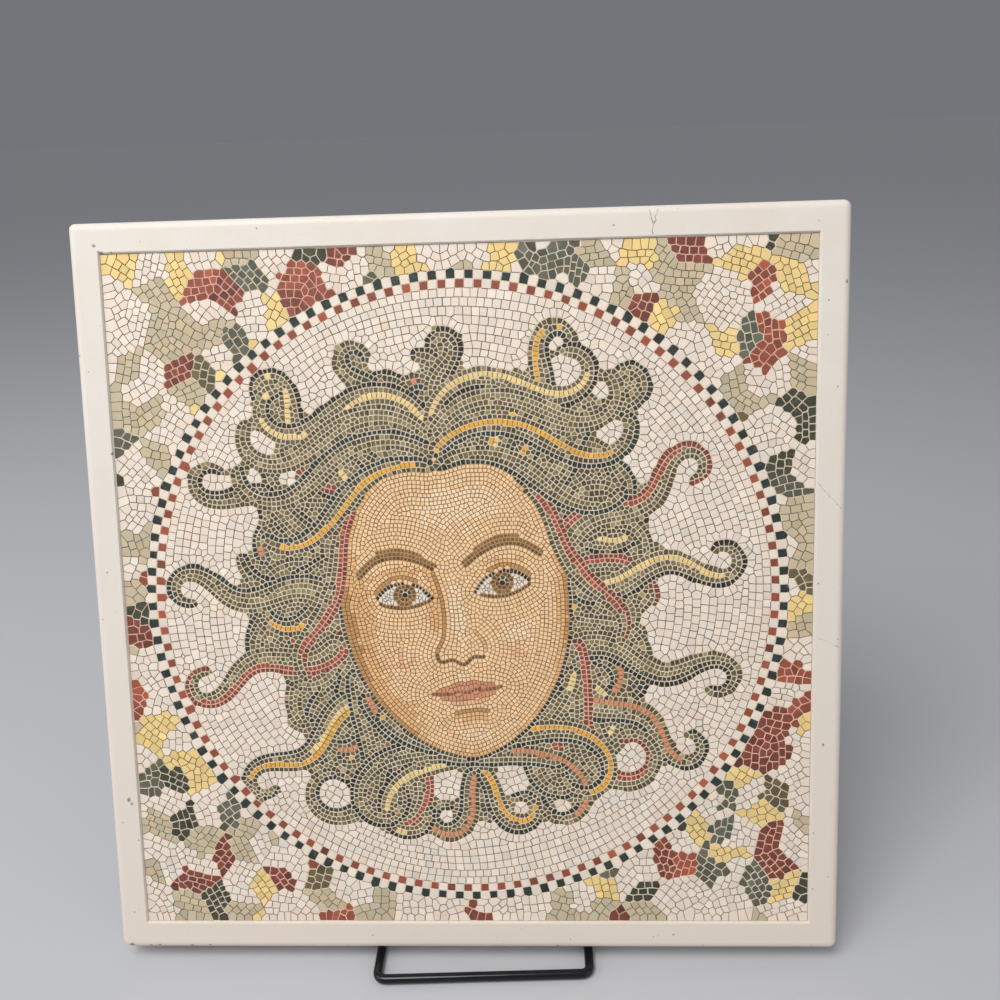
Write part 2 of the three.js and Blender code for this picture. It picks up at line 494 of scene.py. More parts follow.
@dataclass
class Picture:
    """The whole layout of the field. Millimetres."""

    tilt: float = math.radians(6.5)
    centre: Pair = (-3.5, -4.0)
    lozenge_columns: int = 45
    lozenge_pitch: float = 3.25
    skin_pitch: float = 1.62
    outline_pitch: float = 2.6
    ring_pitch: float = 3.15
    lozenge_seed: int = 23
    strand_seed: int = 11
    strand_count: int = 58
    upper_lid: tuple[Pair, ...] = ((-11.0, -2.6), (-6.2, 2.4), (0.5, 4.6), (6.8, 3.2), (11.6, -0.6))
    lower_lid: tuple[Pair, ...] = ((-9.6, -3.6), (-4.4, -5.0), (1.6, -5.3), (7.0, -3.9), (10.6, -2.0))
    # Spots of light and shade on the head: strength, middle across and up, and reach across and up
    spots: tuple[tuple[float, ...], ...] = (
        (0.26, 6, 40, 24, 12), (0.34, 0.5, -4, 3.4, 15), (0.22, 24, -12, 10, 8), (0.16, -21, -12, 9, 7),
        (0.24, 1, -53, 8, 4), (0.16, 0, -28, 6, 3), (-0.40, -44, -10, 11, 38), (-0.26, -31, -46, 14, 14),
        (-0.20, 45, -14, 7, 34), (-0.30, -8, 2, 3.6, 13), (-0.12, 8.5, 6, 3, 8), (-0.26, 0, -45.5, 9, 2.2),
        (-0.18, 20, 16.5, 12, 2.6), (-0.22, -20, 16.5, 12, 2.6), (-0.14, -11, -25, 5, 5),
        (-0.24, 0, -62, 32, 4.5),
    )

    def __post_init__(self) -> None:
        """Starts with a bare field."""
        self.stones = Stones()
        self.axis = FIELD.axis()
        self.x, self.y = np.meshgrid(self.axis, self.axis)
        self.radius = np.hypot(self.x, self.y)
        self.taken = np.zeros(self.x.shape, bool)
        self.eye_zone = np.zeros(self.x.shape, bool)
        self.irises: list[Pair] = []

    # Frames and cells

    def head(self, x: float, y: float) -> Pair:
        """A place on the head, from its upright frame to the field."""
        c, s = math.cos(self.tilt), math.sin(self.tilt)
        return self.centre[0] + c * x - s * y, self.centre[1] + s * x + c * y

    def head_line(self, points: Iterable[Pair]) -> np.ndarray:
        """A smooth line through places on the head."""
        return spline([self.head(*p) for p in points])

    def upright(self, x: np.ndarray, y: np.ndarray) -> tuple[np.ndarray, np.ndarray]:
        """A place in the field, seen in the head's upright frame."""
        dx, dy = x - self.centre[0], y - self.centre[1]
        c, s = math.cos(self.tilt), math.sin(self.tilt)
        return c * dx + s * dy, -s * dx + c * dy

    def within(self, cells: np.ndarray, radius: float = math.inf) -> Callable[[float, float], bool]:
        """Makes a test for places.

        Args:
            cells: the raster cells that pass.
            radius: how far out a place may lie.

        Returns:
            A function that tells whether a place passes.
        """
        return lambda x, y: bool(cells[FIELD.cell(x, y)]) and math.hypot(x, y) < radius

    def laid(self) -> np.ndarray:
        """Raster cells that hold a stone."""
        cells = np.zeros(self.x.shape, bool)
        cells[FIELD.cell(np.array(self.stones.x), np.array(self.stones.y))] = True
        return cells

    # Border and surround

    def border(self) -> None:
        """Lays the two counter-changed courses round the medallion."""
        f = FIELD
        for row, tones in enumerate(((Tone.TEAL, Tone.GROUND), (Tone.GROUND, Tone.BRICK))):
            radius = f.medallion - (row + 0.5) * f.course
            course = self.stones.new_course()
            for k in range(f.border_count):
                angle = (k + 0.5) / f.border_count * math.tau
                way = (-math.sin(angle), math.cos(angle))
                self.stones.lay(radius * math.cos(angle), radius * math.sin(angle), way, f.course,
                                tones[k % 2], course, 0.5)

    def surround(self) -> None:
        """Lays lozenges round the medallion: a tiling by rhombi, wrapped round the circle and let wander."""
        unit = math.tau / self.lozenge_columns
        side = unit / math.sqrt(3)
        tones = (Tone.STRAW, Tone.SAGE, Tone.MAROON, Tone.SLATE, Tone.OLIVE_DEEP, Tone.BRICK, Tone.OLIVE)
        shares = (17, 36, 15, 13, 8, 8, 5)
        dice = random.Random(self.lozenge_seed)

        def spot(u: float, v: float) -> Pair:
            """The place in the field of one in the flat tiling, across and outwards."""
            wander = 0.9 * math.sin(5 * u + 9 * v) + 0.8 * math.sin(11 * u - 13 * v + 1)
            radius = FIELD.medallion * (1 + v * (1 + 0.25 * v)) + wander
            turned = u + 0.010 * math.sin(23 * v + 4 * u)
            return radius * math.cos(turned), radius * math.sin(turned)

        for j in range(-1, 5):
            for i in range(self.lozenge_columns):
                u = (i + 0.5 * (j % 2)) * unit
                v = j * 1.5 * side + side * 0.35
                rim = [(u + side * math.sin(k * math.pi / 3), v + side * math.cos(k * math.pi / 3))
                       for k in range(6)]
                plain = {dice.randrange(3)} | ({dice.randrange(3)} if dice.random() < 0.7 else set())
                for third in range(3):
                    corners = [(u, v), *(rim[(2 * third + k) % 6] for k in range(3))]
                    tone = dice.choices(tones, shares)[0]
                    self.lozenge([spot(*c) for c in corners], Tone.GROUND if third in plain else tone)

    def lozenge(self, corners: list[Pair], tone: Tone) -> None:
        """Lays one lozenge in courses along its sides.

        Args:
            corners: its four corners, in order.
            tone: its colour.
        """
        p = np.array(corners)
        sides = [np.hypot(*(p[k] - p[(k + 1) % 4])) for k in range(4)]
        pitch = self.lozenge_pitch
        rows = max(2, round((sides[1] + sides[3]) / 2 / pitch))
        cols = max(2, round((sides[0] + sides[2]) / 2 / pitch))
        skew = self.stones.dice.choice((0, 1))
        if skew:
            p = np.roll(p, 1, 0)
            rows, cols = cols, rows
        for r in range(rows):
            course = self.stones.new_course()
            t = (r + 0.5) / rows
            for c in range(cols):
                s = (c + 0.5 + self.stones.dice.uniform(-0.22, 0.22)) / cols
                low = p[0] + (p[1] - p[0]) * s
                high = p[3] + (p[2] - p[3]) * s
                x, y = low + (high - low) * (t + self.stones.dice.uniform(-0.13, 0.13) / rows)
                if math.hypot(x, y) < FIELD.medallion + 0.48 * pitch:
                    continue
                way = (p[1] - p[0]) * (1 - t) + (p[2] - p[3]) * t
                spin = self.stones.dice.uniform(-0.2, 0.2)
                way = np.array((way[0] - way[1] * spin, way[1] + way[0] * spin)) / np.hypot(*way)
                way = way / np.hypot(*way)
                kind = self.ground_tone(x, y) if tone is Tone.GROUND else tone
                self.stones.lay(x, y, way, pitch, kind, course, 0.72)

    def ground_tone(self, _x: float, _y: float) -> Tone:
        """An off-white, now and then a little warmer or greyer."""
        draw = self.stones.dice.random()
        return Tone.GROUND_WARM if draw < 0.2 else Tone.GROUND_GREY if draw < 0.3 else Tone.GROUND

    def near_tone(self, x: float, y: float) -> Tone:
        """Colour of the nearest stone to a place outside the medallion.

        Args:
            x: the place across.
            y: the place up.

        Returns:
            Its colour, or the ground's where no stone is near.
        """
        best, tone = 1e9, Tone.GROUND
        for k in self.stones.around(x, y):
            px, py = self.stones.x[k], self.stones.y[k]
            apart = math.hypot(px - x, py - y)
            if apart < best and math.hypot(px, py) > FIELD.medallion:
                best, tone = apart, self.stones.tone[k]
        return tone

    # Hair

    def lay_lock(self, lock: Lock) -> None:
        """Lays a lock in courses that follow its outline.

        Args:
            lock: the lock, which goes under whatever is there already.
        """
        reach = max(lock.widths) / 2 + 2
        lo = lock.line.min(0) - reach
        hi = lock.line.max(0) + reach
        row0, col0 = FIELD.cell(lo[0], lo[1])
        row1, col1 = FIELD.cell(hi[0], hi[1])
        xs, ys = self.axis[col0:col1 + 1], self.axis[row0:row1 + 1]
        depth, nearest = lock.depth(xs, ys)
        ways = np.gradient(lock.line, axis=0)
        left, right = lock.scheme.value
        keep = self.within(~self.taken, FIELD.inner - 0.4 * lock.pitch)
        levels = int(max(lock.radii()) / lock.pitch + 0.5)
        for level in range(levels):
            def tone(x: float, y: float, level: int = level) -> Tone:
                """Colour of one level's course, with the browns mixed.

                Args:
                    x: a place across.
                    y: the place up.
                    level: the level, counted from the lock's outline inwards.

                Returns:
                    The colour on the side of the lock where the place lies.
                """
                row, col = FIELD.cell(x, y)
                k = nearest[np.clip(row - row0, 0, len(ys) - 1), np.clip(col - col0, 0, len(xs) - 1)]
                wx, wy = ways[k]
                cx, cy = lock.line[k]
                side = left if wx * (y - cy) - wy * (x - cx) > 0 else right
                chosen = side[min(level, len(side) - 1)]
                if chosen in BROWNS and self.stones.dice.random() < 0.3:
                    return self.stones.dice.choice(BROWNS)
                return chosen

            for line in contours(depth, (level + 0.5) * lock.pitch, xs[0], ys[0], FIELD.step):
                self.stones.lay_line(smoothed(line), lock.pitch, tone, keep, 0.78)
        self.taken[row0:row1 + 1, col0:col1 + 1] |= depth > 0

    # Filling

    def fill(self, zone: np.ndarray, depth: np.ndarray, pitch: float, tone: ToneAt, share: float,
             stretch: float, along_edges: bool = True) -> None:
        """Fills a zone with courses.

        Args:
            zone: the raster cells to fill.
            depth: what each course keeps to one level of.
            pitch: width of a course.
            tone: colour for a place.
            share: how close stones may come, as a share of the pitch.
            stretch: length of a stone over its width.
            along_edges: whether courses also run along the zone's edges.
        """
        keep = self.within(zone)
        shown = np.where(zone, depth, 0.0) if along_edges else depth
        deepest = shown[zone].max()
        level = 0
        while (level + 0.5) * pitch < deepest:
            for line in contours(shown, (level + 0.5) * pitch, self.axis[0], self.axis[0], FIELD.step):
                self.stones.lay_line(smoothed(line, 4), pitch, tone, keep, share, stretch)
            level += 1

    def patch_holes(self, zone: np.ndarray, pitch: float, tone: ToneAt, share: float = 0.72) -> None:
        """Lays a stone wherever one is missing in a zone.

        Args:
            zone: the raster cells to look at.
            pitch: width of a stone with its joint.
            tone: colour for a place.
            share: how close stones may come, as a share of their mean pitch.
        """
        gap = distance_to(self.laid(), FIELD.step)
        want = zone & (gap > 0.8 * pitch)
        order = np.argsort(-gap[want])
        xs, ys = self.x[want][order], self.y[want][order]
        for x, y, angle in zip(xs, ys, np.arctan2(ys, xs)):
            way = (-math.sin(angle), math.cos(angle))
            self.stones.lay(x, y, way, pitch, tone(x, y), self.stones.new_course(), share)

    # The face

    def face_half_width(self, y: np.ndarray) -> np.ndarray:
        """Half the face's width.

        Args:
            y: heights in the head's upright frame.

        Returns:
            The half width at each, and nothing above the brow's top and below the chin.
        """
        y = np.asarray(y, float)
        top, chin, widest, half = 61.0, -62.0, 7.0, 45.0
        upper = np.clip(1 - ((y - widest) / (top - widest)) ** 2, 0, 1) ** 0.5
        lower = np.clip(1 - np.abs((y - widest) / (chin - widest)) ** 2.35, 0, 1) ** 0.62
        return half * np.where(y > widest, upper, lower)

    def face_mask(self) -> np.ndarray:
        """Raster cells on the face."""
        ux, uy = self.upright(self.x, self.y)
        return np.abs(ux) < self.face_half_width(uy)

    def feature(self, points: Iterable[Pair], tones: Iterable[Tone], pitch: float = 1.55,
                mirror: bool = False, share: float = 0.72) -> None:
        """Lays a feature of the face as courses side by side.

        Args:
            points: the line of the feature on the upright head.
            tones: one colour for each course, from the line's left side to its right.
            pitch: width of a course.
            mirror: whether the other half of the face gets the same.
            share: how close stones may come.
        """
        points = list(points)
        tones = list(tones)
        sides = (1, -1) if mirror else (1,)
        for sign in sides:
            line = self.head_line([(sign * x, y) for x, y in points])
            way = np.gradient(line, axis=0)
            way /= np.hypot(way[:, 0], way[:, 1])[:, None]
            normal = np.stack([-way[:, 1], way[:, 0]], 1) * sign
            for k, kind in enumerate(tones):
                offset = ((len(tones) - 1) / 2 - k) * pitch
                course = line + normal * offset
                self.stones.lay_line(course, pitch, lambda _x, _y, kind=kind: kind, None, share)

    def eye(self, sign: int) -> None:
        """Lays one eye's lids, iris and pupil, and marks what its white fills.

        Args:
            sign: 1 for the eye on the right, -1 for the other.
        """
        cx, cy = sign * 19.5, 7.5
        lid = [(cx + sign * x, cy + y) for x, y in self.upper_lid]
        low = [(cx + sign * x, cy + y) for x, y in self.lower_lid]
        middle = (cx + 0.3, cy)
        x, y = self.head(*middle)
        self.irises.append((x, y))
        self.stones.lay(x, y, (1, 0), 2.2, Tone.INK, self.stones.new_course(), 0.5)
        rings = ((2.0, 7, Tone.OLIVE_DEEP, Tone.UMBER), (3.65, 14, Tone.UMBER, Tone.RUSSET))
        for radius, count, upper, lower in rings:
            ring = self.stones.new_course()
            for k in range(count):
                angle = (k + 0.5) * math.tau / count
                up = radius * math.sin(angle)
                if not -4.3 < up < 3.6:
                    continue
                px, py = self.head(middle[0] + radius * math.cos(angle), middle[1] + up)
                way = (-math.sin(angle), math.cos(angle))
                self.stones.lay(px, py, way, 1.6, upper if up > 0.4 else lower, ring, 0.6)
        self.feature(lid, [Tone.INK], 1.5)
        self.feature(low, [Tone.UMBER], 1.4)
        crease = [(px, py + 2.7) for px, py in lid[1:]]
        self.feature(crease, [Tone.PEACH_BROWN], 1.5)
        ux, uy = self.upright(self.x, self.y)
        xs = sorted(px for px, _ in lid + low)
        span = (ux > xs[0] + 1) & (ux < xs[-1] - 1)
        upper = np.interp(ux * sign, *zip(*sorted((px * sign, py) for px, py in lid)))
        under = np.interp(ux * sign, *zip(*sorted((px * sign, py) for px, py in low)))
        self.eye_zone |= span & (uy < upper - 0.7) & (uy > under + 0.7)

    def shade(self, ux: float, uy: float) -> Tone:
        """Colour of the skin, lit from the upper right.

        Args:
            ux: a place across the upright head.
            uy: the same place up the head.

        Returns:
            The colour of the stone there.
        """
        w = max(float(self.face_half_width(uy)), 1.0)
        edge = 1 - min(abs(ux) / w, 1.0)

        def soft(cx: float, cy: float, rx: float, ry: float) -> float:
            """A soft spot, from one in its middle to nothing."""
            return math.exp(-((ux - cx) / rx) ** 2 - ((uy - cy) / ry) ** 2)

        light = 0.50 - 3.0 * max(0.0, 0.10 - edge) + self.stones.dice.gauss(0, 0.03)
        light += sum(strength * soft(*spot) for strength, *spot in self.spots)
        if (ux / 13.5) ** 2 + ((uy + 34.2) / 3.4) ** 2 < 1:
            return Tone.SALMON
        if light > 0.66:
            return Tone.PEACH_LIGHT
        if light > 0.36:
            rosy = soft(26, -19, 10, 7) + soft(-26, -19, 10, 7)
            return Tone.ROSE if rosy > 0.55 and self.stones.dice.random() < 0.3 else Tone.PEACH
        if light > 0.12:
            return Tone.PEACH_DEEP
        return Tone.PEACH_BROWN

    def face(self) -> None:
        """Lays the face: its features first, then courses that follow them."""
        for sign in (1, -1):
            self.eye(sign)
        self.feature([(5.8, 16.8), (12, 20.6), (20, 23.4), (29, 22.6), (37.5, 16.6)],
                     [Tone.RUSSET, Tone.UMBER], 1.6, True)
        self.feature([(10, 21.8), (15, 24.3), (21, 26.0), (28, 25.7)], [Tone.RUSSET], 1.5, True)
        self.feature([(-7.5, 17), (-5.6, 9), (-4.9, -1), (-6.3, -11), (-9.6, -16.5)], [Tone.PEACH_BROWN], 1.5)
        self.feature([(6.3, -10.5), (9.4, -15.5), (9.4, -20.0)], [Tone.PEACH_DEEP], 1.5)
        self.feature([(-10.4, -17.5), (-9.0, -21.6), (-4.2, -21.0), (0, -23.8), (4.2, -21.0), (9.0, -21.6)],
                     [Tone.UMBER], 1.5)
        self.feature([(-14.5, -34.2), (-8.5, -34.9), (-3, -34.3), (0, -35.1), (3, -34.3), (8.5, -34.9),
                      (14.5, -34.2)], [Tone.LIP], 1.5)
        self.feature([(-11.5, -33.0), (-6, -32.0), (-2.6, -30.9), (0, -31.8), (2.6, -30.9), (6, -32.0),
                      (11.5, -33.0)], [Tone.SALMON], 1.5)
        self.feature([(-11.0, -36.4), (-5, -37.0), (0, -37.0), (5, -37.0), (11.0, -36.4)], [Tone.SALMON], 1.5)
        self.feature([(-7.5, -38.8), (-4, -39.4), (0, -39.5), (4, -39.4), (7.5, -38.8)], [Tone.ROSE], 1.5)
        self.feature([(-7, -43.6), (-3, -42.8), (3, -42.8), (7, -43.6)], [Tone.PEACH_BROWN], 1.5)
        zone = self.face_mask() & ~self.taken
        marks = self.laid() & self.face_mask()

        def eye(x: float, y: float) -> Tone:
            """The white of the eye, or the iris where the lid covers its rings."""
            return Tone.UMBER if min(math.dist((x, y), p) for p in self.irises) < 4.2 else Tone.GROUND

        self.patch_holes(self.eye_zone & zone, 1.5, eye, 0.7)

        def skin(x: float, y: float) -> Tone:
            """Colour of the skin at a place in the field."""
            ux, uy = self.upright(x, y)
            return self.shade(float(ux), float(uy))

        apart = distance_to(marks, FIELD.step) - 0.8
        rim = distance_to(~self.face_mask(), FIELD.step)
        depth = np.minimum(apart, rim)
        self.fill(zone & ~self.eye_zone, depth, self.skin_pitch, skin, 0.80, 1.04)
        self.patch_holes(zone, self.skin_pitch, skin, 0.74)
        self.taken |= self.face_mask()

    # The hair

    def lock(self, root: Pair, heading: float, bends: Iterable[Pair],
             widths: Triple, scheme: Scheme) -> Lock:
        """One lock from its root on the upright head.

        Args:
            root: where it starts.
            heading: its first direction, in degrees from the head's right.
            bends: pairs of a length and the turn over it.
            widths: its width at its root, its middle and its tip.
            scheme: the colours of its courses.

        Returns:
            The lock.
        """
        line = path(self.head(*root), heading + math.degrees(self.tilt), bends)
        return Lock(line, widths, scheme)

    def front_locks(self) -> list[Lock]:
        """Shapes the locks that part over the brow and sweep down beside the face.

        Returns:
            The locks, with what lies over the others first.
        """
        locks = []
        for sign in (1, -1):
            def swept(x: float, y: float, heading: float, bends: list[Pair],
                      widths: Triple, scheme: Scheme) -> Lock:
                """A lock given for the right side, and mirrored for the left."""
                turned = heading if sign > 0 else 180 - heading
                return self.lock((sign * x, y), turned, [(a, b * sign) for a, b in bends], widths, scheme)

            one, two = (Scheme.OLIVE, Scheme.GOLD) if sign > 0 else (Scheme.GOLD, Scheme.OLIVE)
            locks += [
                swept(2.5, 57, 22, [(20, -38), (22, -38), (22, 34), (14, 60)], (6, 9.5, 6), one),
                swept(2, 63, 40, [(24, -46), (26, -44), (22, 52), (18, 90)], (7, 9.5, 6), two),
                swept(2, 69, 56, [(24, -56), (26, -44), (22, 56), (18, 110)], (7, 9.5, 6), Scheme.SOFT),
                swept(1.5, 75, 72, [(20, -60), (24, -56), (24, 70), (20, 150)], (7, 9.5, 6), Scheme.STRAW),
                swept(36, 43, -52, [(18, -30), (20, 26), (20, 24), (14, -80)], (6, 9, 5), Scheme.RED),
            ]
        return locks

    def tendrils(self) -> list[Lock]:
        """Shapes the long locks that leave the mass of hair in a wave and end in a curl.

        Returns:
            The locks, in order round the head.
        """
        specs = (
            (84, 58, -30, 9.5, Scheme.DARK), (62, 74, 24, 10.0, Scheme.GOLD),
            (42, 78, -30, 9.5, Scheme.OLIVE), (20, 78, 34, 9.5, Scheme.RED),
            (0, 80, -26, 9.5, Scheme.STRAW), (-22, 80, 32, 9.5, Scheme.DARK),
            (-40, 78, -24, 9.5, Scheme.ROSE), (104, 62, 34, 9.5, Scheme.OLIVE),
            (126, 76, -32, 9.5, Scheme.STRAW), (148, 78, 30, 9.5, Scheme.DARK),
            (170, 80, -30, 9.5, Scheme.OLIVE), (191, 80, 28, 9.5, Scheme.RED),
            (213, 78, -30, 9.5, Scheme.GOLD),
        )
        locks = []
        for around, length, lead, width, scheme in specs:
            side = 1 if lead > 0 else -1
            a = math.radians(around)
            root = (52 * math.cos(a), 1 + 62 * math.sin(a))
            bends = [(length * 0.30, -75 * side), (length * 0.30, 120 * side), (length * 0.40, -300 * side)]
            locks.append(self.lock(root, around + lead, bends, (width + 3, width, width * 0.45), scheme))
        return locks

    def knot(self) -> list[Lock]:
        """Shapes the locks that come down both sides, cross under the chin and curl outwards.

        Returns:
            The locks, with what lies over the others first.
        """
        return [
            self.lock((-35, -42), -56, [(26, 44), (34, 26), (34, -60), (40, -250)], (8, 9.5, 5), Scheme.GOLD),
            self.lock((36, -41), -124, [(26, -42), (32, -24), (36, 56), (40, 250)], (8, 9.5, 5), Scheme.DARK),
            self.lock((-41, -34), -72, [(26, 40), (36, 36), (36, -50), (34, -220)], (8, 9.5, 5), Scheme.ROSE),
            self.lock((42, -33), -108, [(26, -40), (36, -36), (36, 50), (34, 220)], (8, 9.5, 5),
                      Scheme.STRAW),
            self.lock((-44, -24), -96, [(30, 20), (28, -60), (40, -250)], (9, 9.5, 5), Scheme.OLIVE),
            self.lock((45, -23), -84, [(30, -20), (28, 60), (40, 250)], (9, 9.5, 5), Scheme.RED),
            self.lock((-30, -50), -60, [(20, 50), (30, 30), (30, 30)], (8, 9.5, 8), Scheme.SOFT),
            self.lock((2, -70), -62, [(12, -30), (12, 60), (26, 260)], (8, 9, 4.5), Scheme.GOLD),
            self.lock((-3, -70), -118, [(12, 30), (12, -60), (26, -260)], (8, 9, 4.5), Scheme.ROSE),
            self.lock((0, -70), -90, [(10, 16), (9, -24)], (8, 8, 6), Scheme.SOFT),
        ]

    def strands(self) -> list[Lock]:
        """Shapes the shorter locks side by side that are the mass of the hair.

        Returns:
            The locks, in order round the head.
        """
        dice = random.Random(self.strand_seed)
        schemes = (Scheme.OLIVE, Scheme.SOFT, Scheme.DARK, Scheme.SOFT, Scheme.STRAW, Scheme.SOFT, Scheme.RED,
                   Scheme.OLIVE, Scheme.GOLD, Scheme.SOFT, Scheme.ROSE)
        locks = []
        for k in range(self.strand_count):
            around = -60 + (k + 0.5) * 300 / self.strand_count
            a = math.radians(around)
            root = (42 * math.cos(a), 2 + 56 * math.sin(a))
            down = -30 * math.cos(a)
            bend = (1 if k % 2 else -1) * dice.uniform(26, 44)
            length = dice.uniform(38, 54)
            bends = [(length * 0.35, bend), (length * 0.65, -4.6 * bend)]
            locks.append(self.lock(root, around + down, bends, (9, 9.0, 6), schemes[(k * 3) % len(schemes)]))
        return locks

    def hair(self) -> None:
        """Lays the locks that lie over the face's edge, the face, and then the rest outwards."""
        for one in self.front_locks():
            self.lay_lock(one)
        self.face()
        self.face_line()
        for one in self.knot() + self.tendrils() + self.strands():
            self.lay_lock(one)
        self.taken |= self.closed(2.3) & (self.radius < FIELD.inner - 1)

    def face_line(self) -> None:
        """Lays one dark course round the face, where no lock lies over it."""
        pitch = 1.8
        keep = self.within(~self.taken)
        apart = distance_to(self.face_mask(), FIELD.step)
        for line in contours(-apart, -0.95, self.axis[0], self.axis[0], FIELD.step):
            self.stones.lay_line(smoothed(line), pitch, lambda x, _y: Tone.INK if x > 0 else Tone.OLIVE_DEEP,
                                 keep, 0.76)
        self.taken |= apart < pitch

    def closed(self, reach: float) -> np.ndarray:
        """What is covered, with its narrow gaps closed.

        Args:
            reach: half the width of the widest gap that closes.

        Returns:
            The covered cells of the raster.
        """
        grown = distance_to(self.taken, FIELD.step) <= reach
        return distance_to(~grown, FIELD.step) > reach

    def ground(self) -> None:
        """Lays the medallion's ground: a narrow course round the figure, then rings from the border."""
        zone = ~self.taken & (self.radius < FIELD.inner)
        apart = distance_to(self.taken, FIELD.step)
        narrow = self.outline_pitch
        self.fill(zone & (apart < narrow), apart, narrow, self.ground_tone, 0.8, 1.05)
        angle = np.arctan2(self.y, self.x)
        inward = FIELD.inner - self.radius
        wave = 0.9 * np.sin(3 * angle + 1) + 0.8 * np.sin(7 * angle + inward / 11)
        depth = inward + np.clip(inward / 14, 0, 1) * wave
        self.fill(zone & (apart >= narrow - 0.2), depth, self.ring_pitch, self.ground_tone, 0.82, 1.02, False)
        self.patch_holes(zone, 2.9, self.ground_tone, 0.77)

    def compose(self) -> Stones:
        """Lays everything.

        Returns:
            The stones.
        """
        self.border()
        self.hair()
        self.ground()
        self.surround()
        hair = self.taken & ~self.face_mask()
        olive = (Tone.OLIVE, Tone.OLIVE_DARK, Tone.OLIVE, Tone.MOSS)
        self.patch_holes(hair, Lock.pitch, lambda _x, _y: self.stones.dice.choice(olive), 0.74)
        self.patch_holes(self.radius > FIELD.medallion + 1.5, 3.2, self.near_tone, 0.72)
        return self.stones


# From stones to a mesh

FACE_TONES = {
    Tone.PEACH, Tone.PEACH_LIGHT, Tone.PEACH_DEEP, Tone.PEACH_BROWN, Tone.ROSE, Tone.SALMON, Tone.LIP,
    Tone.UMBER, Tone.RUSSET,
}
RED_TONES = {Tone.BRICK, Tone.MAROON}
MIRRORS = ((1, 0), (-1, 0), (0, 1), (0, -1), (1, 1), (1, -1), (-1, 1), (-1, -1))


